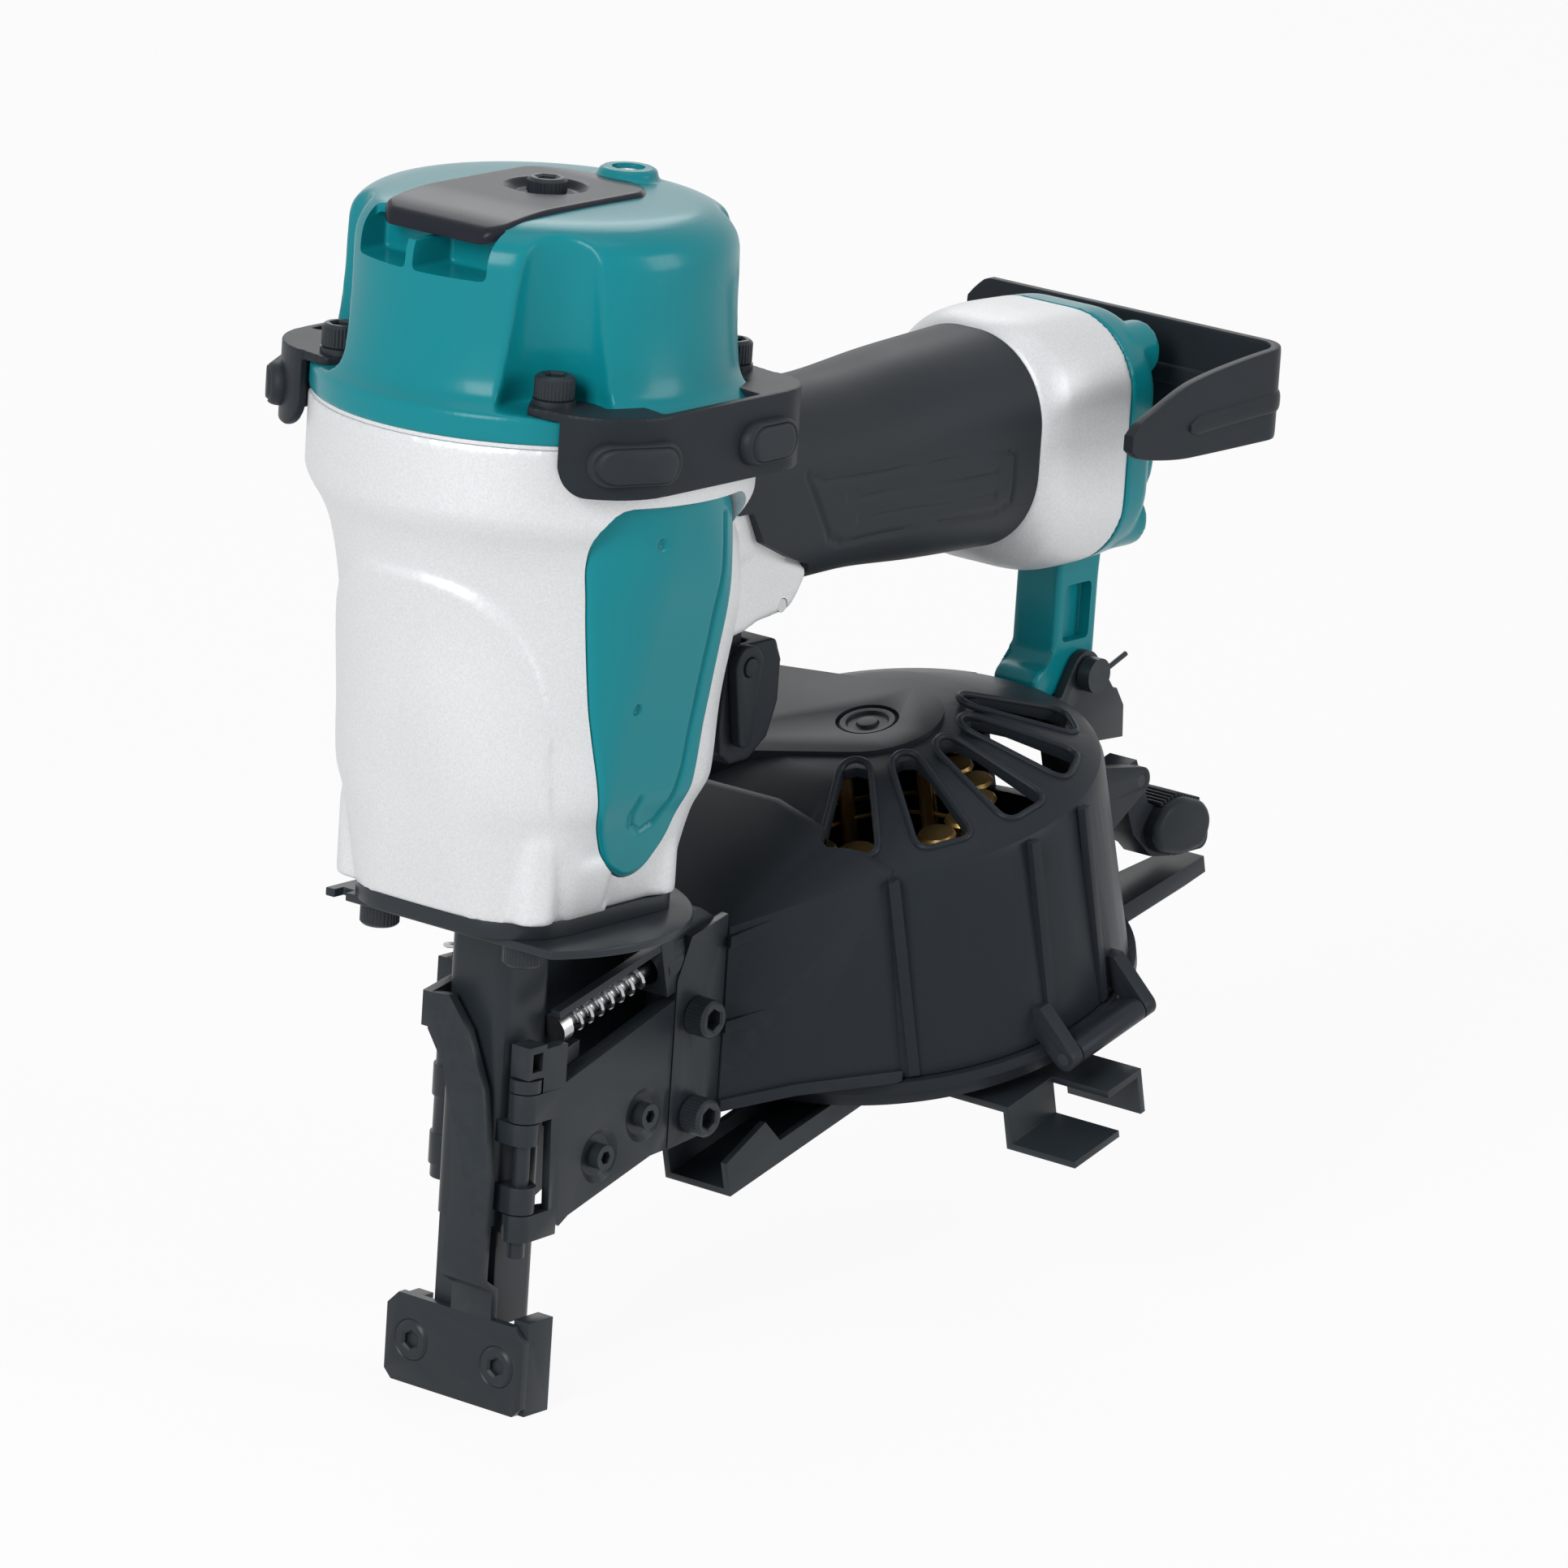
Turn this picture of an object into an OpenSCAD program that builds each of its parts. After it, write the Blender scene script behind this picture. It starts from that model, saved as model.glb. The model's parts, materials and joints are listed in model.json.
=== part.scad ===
// Pneumatic coil roofing nailer, built from separate pieces.
// Origin: on the drive axis, at the face of the contact foot. +Z runs up the drive axis,
// +X runs back along the handle, and -Y is the operator's left side.

/* [Head and housing] */
// Radius of the housing at the head joint
body_r = 46.5; // [45:0.5:48]
// Height of the joint between the housing and the head cap
joint_z = 215; // [214:0.5:217]
// Height of the bottom face of the housing
base_z = 111.5; // [110.5:0.5:112.5]
// Distance between neighbouring cap bolts
bolt_pitch = 57; // [56:0.5:58]
// Thread diameter of the cap bolts
cap_bolt_d = 5; // [4:0.5:5.5]
// Height of the head cap above the joint
cap_h = 45; // [44:0.5:48]
// Radius of the cavity in the head cap
cap_bore_r = 28.3; // [27.8:0.1:29]
// Thickness of the two side guards
guard_t = 2; // [1.6:0.2:2.2]
// Height of the side guards
guard_h = 17; // [14:0.5:18]

/* [Drive] */
// Inner radius of the cylinder sleeve
sleeve_r = 18.5; // [17:0.25:18.75]
// Wall of the cylinder sleeve
sleeve_t = 2.4; // [2:0.1:2.6]
// Radius of the driver blade
blade_r = 4.6; // [4.2:0.1:4.8]
// Height of the piston
piston_h = 13; // [12:0.5:14]
// Gap between the blade and its guide bore
blade_gap = 0.4; // [0.3:0.05:0.5]

/* [Handle] */
// Half width of the grip where the hand holds it
grip_w = 19; // [18:0.5:20]
// Half height of the grip where the hand holds it
grip_h = 21.2; // [20.5:0.1:22]
// Wall of the rubber grip
grip_t = 2.4; // [2:0.2:2.8]
// Height of the handle's centre line
handle_z = 186.5; // [186:0.25:187]
// Where the rubber grip ends
grip_end_x = 147; // [146:0.5:148]
// Where the silver end of the handle stops
shell_end_x = 176; // [175.5:0.5:177]
// Radius of the air inlet thread, a quarter inch pipe thread
inlet_r = 5.8; // [5.5:0.1:6.2]

/* [Hanging hook] */
// Distance of the hook's arm from the handle's centre line
hook_reach = 45; // [44:0.5:47]
// Height of the hook's strap
hook_strap = 20.5; // [18:0.5:21.5]
// Thickness of the hook's strap
hook_t = 2.4; // [2:0.1:2.6]

/* [Nose and feeder] */
// Half width of the nose block
nose_half = 8; // [7.8:0.1:8.2]
// Height of the nose tip above the contact face at rest
nose_tip_z = 17; // [16.5:0.5:18]
// Travel of the contact arm
contact_travel = 9.5; // [7:0.5:12]
// Width of the contact foot
foot_w = 37.6; // [36:0.2:39]
// Height of the contact foot
foot_h = 19.6; // [18.8:0.2:20.4]
// Outer face of the feeder door, measured from the drive plane
door_y = 15; // [14.8:0.1:15.2]
// Thickness of the feeder door
door_t = 2; // [1.6:0.1:2.2]

/* [Magazine] */
// Slope of the magazine
tilt = 15; // [14.5:0.25:15.5]
// Outer radius of the magazine drum
drum_r = 51.8; // [51.4:0.1:52.2]
// Height of the drum's straight wall
drum_h = 48; // [47:0.5:49]
// Wall of the drum
drum_t = 2.2; // [1.8:0.1:2.6]
// Number of windows in the drum's shoulder
windows = 5; // [3:1:6]
// Length of the longest nail
nail_l = 45; // [32:1:45]
// Outer radius of a full nail coil
coil_r = 34.5; // [30:0.5:39]

/* [Hidden] */
$fn = 64;
CLEAR = 0.35;
TEAL = "#1a8c96";
SILVER = "#c3c7cb";
BLACK = "#26282c";
STEEL = "#3c4249";
BRIGHT = "#b9bcc0";
RUBBER = "#333840";
BRASS = "#b9924a";

// Head stack
ring_z = joint_z + 6.3;
guard_z = ring_z + guard_t;
washer_h = 1.2;
head_z = guard_z + washer_h;
cap_top = joint_z + cap_h;
gasket_h = 0.8;
bolt_xy = bolt_pitch / 2;
cap_head_d = cap_bolt_d * 1.7;
bolt_wall = 3.2;
flute_xy = bolt_xy + 3.5;
clear_r = max(body_r, bolt_xy * sqrt(2) + cap_bolt_d / 2 + bolt_wall);
guard_out = clear_r + 3;
guard_r = 17.6;
guard_x0 = 30.1 - clear_r;
guard_y0 = guard_r - guard_out;
guard_rear_r = 12;
guard_x1 = clear_r - 25;

// Drive stack
sleeve_z0 = base_z + 4.5;
sleeve_z1 = joint_z - 10;
sleeve_out = sleeve_r + sleeve_t;
bumper_z1 = sleeve_z0 + 12;
piston_z = sleeve_z1 - 2 - piston_h;
stroke = piston_z - bumper_z1 - 0.5;
blade_tip_z = nose_tip_z - 2 + stroke;
guide_r = blade_r + blade_gap;
plate_t = 3.5;
wing_t = 1.8;
plate_z = base_z - plate_t;
wing_z = plate_z - wing_t;
valve_z0 = sleeve_z1 + 0.6;
valve_h = 20;
valve_lift = 4;
cavity_top = cap_top - 14;

// Handle stack
trigger_pin = [61, 151];
plunger_x = 69;
cheek_z = 158.5;
flare_z = handle_z - 2;
inlet_z = handle_z - 9.5;
hook_z = handle_z + 10;
cap_plate_t = 11;
boss_r = 14.5;
boss_end_x = shell_end_x + 24;
hook_x = boss_end_x + CLEAR;
arm_x0 = 178.5;
arm_x1 = 194;
mount_pin = [188, 128.7];

// Nose and door
door_pin = [-4, -12];
door_pin_r = 1.8;
knuckle_r = 3.4;
door_end_x = 40.6;
plate_x1 = 57;
foot_x = -8;
arm_x = -12;
screw_y = 11.8;
foot_screw_z = 9.8;
outlet_l = 4.5;
arm_t = 2.2;
foot_t = 2;
flange_t = 4;
arm_top = wing_z - flange_t - 0.7 - contact_travel;
link = [4.5, 14.5];
link_foot_y = nose_half + 0.4 + arm_t;
feed_point = [22, -9, 84];
feed_r = 4.2;
feed_travel = 6.5;
feed_wall = 20;
feed_piston_z = feed_wall + 1.5;
feed_piston_h = 4;
feed_rod_r = 1.6;
mag_bolt = [[47.8, 77.3], [48.3, 55.3]];

// Magazine frame: x runs back along the slope, z runs up the drum's axis
mag_at = [136.1, 0, 68.3];
drum_in = drum_r - drum_t;
dome_r = 22;
dome_h = 61;
tray_r = drum_r + 1.7;
tray_h = 7;
tray_pin = [-tray_r - 3.4, -2.2];
tray_knuckle_r = 2.8;
gauge_t = 1.6;
gauge_h = -tray_h - 5.5;
gauge_y = 18;
gauge_travel = 10;
lever_y = -18;
lever_pin = [drum_r + 9.2, 24];

// ---------------------------------------------------------------- helpers

// One ring of a rounded section: corner centres plus quarter arcs, seven points a corner
function corner(cx, cy, r, a0) = [for (i = [0:6]) [cx + r * cos(a0 + i * 15), cy + r * sin(a0 + i * 15)]];
function section(front, rear, side, r_front, r_rear) = concat(
    corner(rear - r_rear, side - r_rear, r_rear, 0),
    corner(-front + r_front, side - r_front, r_front, 90),
    corner(-front + r_front, -side + r_front, r_front, 180),
    corner(rear - r_rear, -side + r_rear, r_rear, 270));
function ring_z(z, front, rear, side, r_front, r_rear) =
    [for (p = section(front, rear, side, r_front, r_rear)) [p[0], p[1], z]];
function round_z(z, r) = ring_z(z, r, r, r, r, r);
function ring_x(x, cz, half_w, half_h, r) =
    [for (p = section(half_w, half_w, half_h, r, r)) [x, p[0], cz + p[1]]];

// Skin over a stack of equal rings
module loft(rings) {
    n = len(rings[0]);
    last = len(rings) - 1;
    polyhedron(
        points = [for (ring = rings) each ring],
        faces = concat(
            [[for (i = [0:n - 1]) i]],
            [for (k = [0:last - 1], i = [0:n - 1])
                [k * n + i, (k + 1) * n + i, (k + 1) * n + (i + 1) % n, k * n + (i + 1) % n]],
            [[for (i = [0:n - 1]) last * n + n - 1 - i]]),
        convexity = 6);
}

// A strip of sheet metal that follows a path, thickness to the left of its direction
function unit(v) = v / norm(v);
function left_of(v) = [-v[1], v[0]];
function bend(path, i) =
    i == 0 ? left_of(unit(path[1] - path[0])) :
    i == len(path) - 1 ? left_of(unit(path[i] - path[i - 1])) :
    let (a = left_of(unit(path[i] - path[i - 1])), b = left_of(unit(path[i + 1] - path[i])))
    (a + b) / (1 + a * b);
function strip(path, t) = concat(path,
    [for (i = [len(path) - 1:-1:0]) path[i] + bend(path, i) * t]);

module at_bolts() { for (x = [-1, 1], y = [-1, 1]) translate([x * bolt_xy, y * bolt_xy, 0]) children(); }

// Round bosses that keep a wall round each cap bolt
module bolt_bosses(z0, z1, grow = 0) {
    at_bolts() translate([0, 0, z0]) cylinder(r = cap_bolt_d / 2 + bolt_wall + grow, h = z1 - z0);
}

// Socket head cap screw: shank down from z = 0, head up
module cap_screw(d, shank, head_h = 0) {
    head = head_h == 0 ? d : head_h;
    difference() {
        union() {
            cylinder(d = d * 1.7, h = head);
            translate([0, 0, -shank]) cylinder(d = d, h = shank + 0.01);
        }
        translate([0, 0, head * 0.45]) cylinder(d = d * 0.95, h = head, $fn = 6);
    }
}

// Round wire coil of the given mean radius between two heights
module coil_spring(r, wire, z0, z1, turns) {
    steps = turns * 14;
    sides = 6;
    function spot(k, j) = let (a = 360 * k / 14, b = 360 * j / sides, q = r + wire * cos(b))
        [q * cos(a), q * sin(a), z0 + wire + (z1 - z0 - 2 * wire) * k / steps + wire * sin(b)];
    polyhedron(
        points = [for (k = [0:steps], j = [0:sides - 1]) spot(k, j)],
        faces = concat(
            [[for (j = [sides - 1:-1:0]) j]],
            [for (k = [0:steps - 1], j = [0:sides - 1])
                [k * sides + j, k * sides + (j + 1) % sides, (k + 1) * sides + (j + 1) % sides,
                    (k + 1) * sides + j]],
            [[for (j = [0:sides - 1]) steps * sides + j]]),
        convexity = 10);
}

module slab(x0, x1, y0, y1, z0, z1) { translate([x0, y0, z0]) cube([x1 - x0, y1 - y0, z1 - z0]); }
module rod_x(x0, x1, y, z, r) { translate([x0, y, z]) rotate([0, 90, 0]) cylinder(r = r, h = x1 - x0); }
module rod_y(x, y0, y1, z, r) { translate([x, y0, z]) rotate([-90, 0, 0]) cylinder(r = r, h = y1 - y0); }
// Outline in the XZ plane, extruded between two y values
module side_plate(points, y0, y1) { translate([0, y1, 0]) rotate([90, 0, 0]) linear_extrude(y1 - y0) polygon(points); }
// The magazine's sloping frame
module on_magazine() { translate(mag_at) rotate([0, -tilt, 0]) children(); }
// The feeder's sloping axis, laid along +Z
module on_feed() { translate(feed_point) rotate([0, 90 - tilt, 0]) children(); }

// ---------------------------------------------------------------- housing and handle

// Sections of the housing from its square foot to just under its round head
function body_rings(grow) = [
    ring_z(base_z, 26.5 + grow, 27 + grow, 26 + grow, 16.5, 9),
    ring_z(base_z + 18, 31 + grow, 30.5 + grow, 29.5 + grow, 23, 11),
    ring_z(base_z + 26, 32.4 + grow, 34.3 + grow, 32.4 + grow, 25, 13.5),
    ring_z(base_z + 40, 35 + grow, 34.8 + grow, 33.8 + grow, 30, 15),
    ring_z(base_z + 62, 37.5 + grow, 38.3 + grow, 37.3 + grow, 36, 20),
    ring_z(base_z + 76, 40.5 + grow, 40.8 + grow, 40.3 + grow, 40, 32)];
function housing_rings() = concat(body_rings(0), [
    round_z(base_z + 81.5, body_r - 3.7),
    round_z(base_z + 86, body_r - 0.9),
    round_z(base_z + 88.5, body_r),
    round_z(joint_z, body_r)]);
function insert_rings(grow) = concat(body_rings(grow), [round_z(base_z + 92, 42 + grow)]);

function handle_rings(t) = [
    ring_x(30, handle_z - 1, 15 - t, 19 - t, 13 - t),
    ring_x(60, handle_z - 0.5, 17.6 - t, grip_h - t, 15 - t),
    ring_x(93, handle_z, grip_w - t, grip_h - t, 17 - t),
    ring_x(122, handle_z + 0.3, grip_w + 1.4 - t, grip_h + 1.8 - t, 18 - t),
    ring_x(grip_end_x, handle_z + 0.5, grip_w + 2.6 - t, grip_h + 3 - t, 19.5 - t)];

module end_shell() {
    loft([
        ring_x(grip_end_x, handle_z + 0.5, grip_w + 2.9, grip_h + 3.3, 19.6),
        ring_x(grip_end_x + 7, handle_z - 0.9, 24.4, 27.8, 19),
        ring_x(grip_end_x + 16, flare_z + 0.3, 24.8, 28.8, 18.5),
        ring_x(shell_end_x, flare_z, 24.5, 28.6, 18)]);
}

module insert_outline(margin = 0) {
    polygon([[-19.5 - margin, 198], [-16.5 - margin, 200.4 + margin], [15 + margin, 200 + margin],
        [18.4 + margin, 197.6], [20.6 + margin, 175], [20.3 + margin, 157], [19 + margin, 136],
        [15.8 + margin, 125], [10.5 + margin, 118.8 - margin], [4.5, 117.8 - margin],
        [-2.5 - margin, 121.6], [-9.5 - margin, 134], [-15.7 - margin, 158], [-19.3 - margin, 183]]);
}
module insert_block(margin, y0, y1) {
    translate([0, y1, 0]) rotate([90, 0, 0]) linear_extrude(y1 - y0) insert_outline(margin);
}

module housing() {
    color(SILVER) difference() {
        union() {
            loft(housing_rings());
            loft(handle_rings(grip_t));
            end_shell();
            bolt_bosses(joint_z - 15, joint_z);
            // Cheeks that hold the trigger valve
            side_plate(cheek_outline(), -14.6, 14.6);
        }
        // Cylinder cavity, stepped from the bumper seat to the head
        translate([0, 0, base_z - 1]) cylinder(r = blade_r + 2, h = 20);
        translate([0, 0, sleeve_z0 - 0.5]) cylinder(r = sleeve_out + 0.05, h = 40);
        translate([0, 0, base_z + 42]) cylinder(r = 29, h = 60);
        translate([0, 0, base_z + 78]) cylinder(r = 32.5, h = 60);
        // Air chamber in the handle
        rod_x(20, shell_end_x + 1, 0, handle_z - 0.5, 13);
        translate([plunger_x, 0, cheek_z - 1]) cylinder(r = 6.5, h = 24);
        rod_y(plunger_x, -20, 20, cheek_z + 5, 1.5);
        at_bolts() translate([0, 0, joint_z - 14]) cylinder(d = cap_bolt_d, h = 20);
        nose_bolt_spots() translate([0, 0, base_z - 1]) cylinder(d = 5, h = 9);
        end_bolt_spots() rod_x(-10, 1, 0, 0, 2);
        insert_pockets();
    }
}
function cheek_outline() = [[36, cheek_z + 1], [55.8, cheek_z + 0.4], [61.7, cheek_z + 2.6],
    [71.5, cheek_z + 3.4], [74.5, cheek_z + 6.5], [77.6, cheek_z + 11.4], [75.4, cheek_z + 13],
    [67.7, cheek_z + 15.7], [57.4, cheek_z + 20.4], [53.4, cheek_z + 27.5], [36, cheek_z + 31]];
module insert_pockets() {
    for (side = [-1, 1]) scale([1, side, 1])
        difference() {
            insert_block(CLEAR, 24, 60);
            loft(insert_rings(-2));
        }
}
module side_insert(side) {
    color(TEAL) scale([1, side, 1]) difference() {
        intersection() {
            insert_block(0, 20, 60);
            loft(insert_rings(1));
        }
        loft(insert_rings(-1.95));
    }
}
module side_insert_left() { side_insert(-1); }
module side_insert_right() { side_insert(1); }

module grip() {
    color(RUBBER) difference() {
        intersection() {
            loft(handle_rings(0));
            slab(50, grip_end_x - 0.1, -40, 40, 150, 230);
        }
        loft(handle_rings(grip_t - 0.02));
        translate([0, 0, base_z + 60]) cylinder(r = body_r + 5.5, h = 60);
        side_plate(concat([[30, cheek_z - 8], [82, cheek_z - 8]],
            [for (i = [5:10]) cheek_outline()[i] + [0.35, 0.3]]), -30, 30);
    }
}

// ---------------------------------------------------------------- head

module head_gasket() {
    color(BLACK) difference() {
        union() {
            translate([0, 0, joint_z]) cylinder(r = body_r - 0.6, h = gasket_h);
            bolt_bosses(joint_z, joint_z + gasket_h, -0.6);
        }
        translate([0, 0, joint_z - 1]) cylinder(r = cap_bore_r + 0.5, h = 4);
        at_bolts() translate([0, 0, joint_z - 1]) cylinder(d = cap_bolt_d + 0.6, h = 4);
    }
}

module exhaust_space(grow = 0) {
    // Recess under the front of the exhaust cover
    slab(-60, -25, -16 - grow, 18 + grow, cap_top - 12.5 - grow, cap_top - 2);
}
module cover_outline() {
    polygon(concat([[-35, -13], [-31.5, -16.4]],
        [for (a = [-60:12:60]) [22.5 * cos(a), 18.9 * sin(a)]],
        [[-31.5, 16.4], [-35, 13]]));
}
function cover_profile(drop) = [[-35, cap_top - 3.6 - drop], [-28, cap_top - 1.2 - drop],
    [-16, cap_top - drop], [12, cap_top - drop], [23, cap_top - 1 - drop]];

module head_cap() {
    color(TEAL) difference() {
        union() {
            translate([0, 0, joint_z + gasket_h]) cylinder(r = body_r, h = ring_z - joint_z - gasket_h);
            bolt_bosses(joint_z + gasket_h, ring_z);
            difference() {
                loft([for (p = [[ring_z - 0.5, 3.5], [ring_z + 2.5, 4.9], [ring_z + 17, 5.5],
                    [cap_top - 9.5, 6.1], [cap_top - 5.5, 7.7], [cap_top - 2.8, 11.1],
                    [cap_top - 1.5, 15.5], [cap_top - 1.1, 20.5]]) round_z(p[0], body_r - p[1])]);
                // Corner flutes that clear the bolts
                for (x = [-1, 1], y = [-1, 1]) translate([x * flute_xy, y * flute_xy, ring_z])
                    cylinder(r1 = 12.3, r2 = 7.4, h = cap_h - 6);
            }
            translate([25.5, -0.5, cap_top - 8]) cylinder(r = 6.3, h = 9);
        }
        translate([0, 0, joint_z - 1]) cylinder(r = cap_bore_r, h = cavity_top - joint_z + 1);
        at_bolts() translate([0, 0, joint_z - 1]) cylinder(d = cap_bolt_d + 0.6, h = 20);
        exhaust_space();
        // Seat of the exhaust cover and its screw
        intersection() {
            translate([0, 0, cap_top - 12]) linear_extrude(20) cover_outline();
            side_plate(concat(cover_profile(3.05), [[24, cap_top + 5], [-36, cap_top + 5],
                [-36, cap_top - 6.65]]), -25, 25);
        }
        translate([0, 0, cap_top - 13]) cylinder(d = 5, h = 14);
        translate([25.5, -0.5, cap_top - 3]) cylinder(r = 3.4, h = 8);
    }
    // Divider in the exhaust recess
    color(TEAL) slab(-34.5, -24.5, 0.5, 3, cap_top - 13, cap_top - 7);
}

module exhaust_cover() {
    color("#464853") difference() {
        union() {
            intersection() {
                translate([0, 0, cap_top - 12]) linear_extrude(20) cover_outline();
                side_plate(concat(cover_profile(3), [for (i = [4:-1:0]) cover_profile(0)[i]]), -25, 25);
            }
            // Lip that turns down over the exhaust
            side_plate([[-35, cap_top - 7.4], [-33.2, cap_top - 7.4], [-31, cap_top - 5.6],
                [-31, cap_top - 3], [-35, cap_top - 3.7]], -12.9, 12.9);
        }
        translate([0, 0, cap_top - 1.6]) cylinder(r1 = 6.5, r2 = 9, h = 1.7);
        translate([0, 0, cap_top - 6]) cylinder(d = 5.5, h = 8);
    }
}
module exhaust_cover_screw() {
    color(BLACK) translate([0, 0, cap_top - 1.6]) cap_screw(5, 10, 3.4);
}
module cap_bolts() { color(BLACK) at_bolts() translate([0, 0, head_z]) cap_screw(cap_bolt_d, 20); }
module cap_washers() {
    color(BRIGHT) at_bolts() translate([0, 0, guard_z]) difference() {
        cylinder(d = cap_head_d + 0.4, h = washer_h);
        translate([0, 0, -1]) cylinder(d = cap_bolt_d + 0.3, h = 4);
    }
}

// Path of a guard in plan, along its outer face, for the left side
function guard_path() = concat(
    [for (a = [189:6.75:270]) [guard_x0 + guard_r * cos(a), guard_y0 + guard_r * sin(a)]],
    [for (a = [270:7.5:360])
        [guard_x1 + guard_rear_r * cos(a), guard_rear_r * (1 + sin(a)) - guard_out]],
    [[guard_x1 + guard_rear_r, 13.1 - guard_out]]);
module guard_band() {
    translate([0, 0, guard_z - guard_h]) linear_extrude(guard_h) polygon(strip(guard_path(), guard_t));
    // Ears under the bolt heads
    difference() {
        translate([0, 0, ring_z]) linear_extrude(guard_t) {
            polygon([[guard_x0 - 17, 14 - guard_out], [guard_x0 - 15.1, 9 - guard_out],
                [guard_x0 - 9.6, 3.5 - guard_out], [guard_x0, 1.1 - guard_out],
                [14.5 - bolt_xy, -9.5 - bolt_xy], [6.5 - bolt_xy, 1.5 - bolt_xy],
                [-bolt_xy, 6 - bolt_xy], [-6.5 - bolt_xy, 1.5 - bolt_xy]]);
            polygon([[guard_x1 + 11.5, 12 - guard_out], [guard_x1 + 8.5, 4.1 - guard_out],
                [guard_x1 + 0.5, 1.1 - guard_out], [guard_x1 - 7.5, 1.1 - guard_out],
                [bolt_xy - 12.5, -9.5 - bolt_xy], [bolt_xy - 7.5, 1.5 - bolt_xy],
                [bolt_xy, 6 - bolt_xy], [bolt_xy + 6.5, 1.5 - bolt_xy]]);
        }
        at_bolts() translate([0, 0, ring_z - 1]) cylinder(d = cap_bolt_d + 0.6, h = 5);
        // Clear the wall of the head cap between the bolts
        difference() {
            translate([0, 0, ring_z - 0.5]) cylinder(r = body_r - 2.9, h = 5);
            for (x = [-1, 1], y = [-1, 1]) translate([x * flute_xy, y * flute_xy, ring_z - 1])
                cylinder(r = 11, h = 7);
        }
    }
}
module guard_left() { color(BLACK) guard_band(); }
module guard_right() { color(BLACK) scale([1, -1, 1]) guard_band(); }
module guard_pads() {
    color(RUBBER) for (side = [-1, 1]) scale([1, -side, 1]) translate([0, 0, guard_z - guard_h / 2 - 1]) {
        // One pad bent round the front corner, one flat
        pad_ends(10.4) linear_extrude(20, center = true) difference() {
            circle(r = guard_r + 2.4);
            circle(r = guard_r + 0.15);
        }
        translate([guard_x1 - 6.5, -guard_out - 1.2, 0]) cube([16.5, 2.38, 9], center = true);
    }
}
module pad_ends(half) {
    translate([guard_x0, guard_y0, 0]) intersection() {
        children();
        rotate([0, 0, 244]) translate([guard_r + 0.4, 0, 0]) cube([8, 2 * half, 9], center = true);
    }
}

// ---------------------------------------------------------------- drive

module cylinder_sleeve() {
    color(BRIGHT) difference() {
        translate([0, 0, sleeve_z0]) cylinder(r = sleeve_out, h = sleeve_z1 - sleeve_z0);
        translate([0, 0, sleeve_z0 - 1]) cylinder(r = sleeve_r, h = sleeve_z1 - sleeve_z0 + 2);
    }
}
module bumper() {
    color(RUBBER) difference() {
        translate([0, 0, sleeve_z0]) cylinder(r = sleeve_r - 0.3, h = bumper_z1 - sleeve_z0);
        translate([0, 0, sleeve_z0 - 1]) cylinder(r = blade_r + 1.4, h = 20);
    }
}
module piston() {
    color(BRIGHT) difference() {
        translate([0, 0, piston_z]) cylinder(r = sleeve_r - 0.05, h = piston_h);
        translate([0, 0, piston_z + 4]) ring_cut(sleeve_r - 2.5, sleeve_r + 1, 3);
        translate([0, 0, piston_z + piston_h - 5]) cylinder(r = sleeve_r - 6, h = 6);
        translate([0, 0, piston_z - 1]) cylinder(r = blade_r, h = piston_h);
    }
}
module ring_cut(r_in, r_out, h) {
    difference() {
        cylinder(r = r_out, h = h);
        translate([0, 0, -1]) cylinder(r = r_in, h = h + 2);
    }
}
module piston_ring() { color(BLACK) translate([0, 0, piston_z + 4]) ring_cut(sleeve_r - 2.5, sleeve_r - 0.05, 3); }
module driver_blade() {
    color(BRIGHT) translate([0, 0, blade_tip_z]) cylinder(r = blade_r, h = piston_z + piston_h - 5 - blade_tip_z);
}
module head_valve() {
    color("#d8d4c4") difference() {
        translate([0, 0, valve_z0]) cylinder(r = cap_bore_r - 0.4, h = valve_h);
        translate([0, 0, valve_z0 - 1]) cylinder(r = sleeve_r - 2, h = valve_h - 4);
        translate([0, 0, valve_z0 + valve_h - 3]) ring_cut(17, 23, 4);
    }
}
module head_valve_spring() {
    color(BRIGHT) coil_spring(20, 0.9, valve_z0 + valve_h - 2.9, cavity_top, 4);
}

// ---------------------------------------------------------------- handle end

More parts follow.
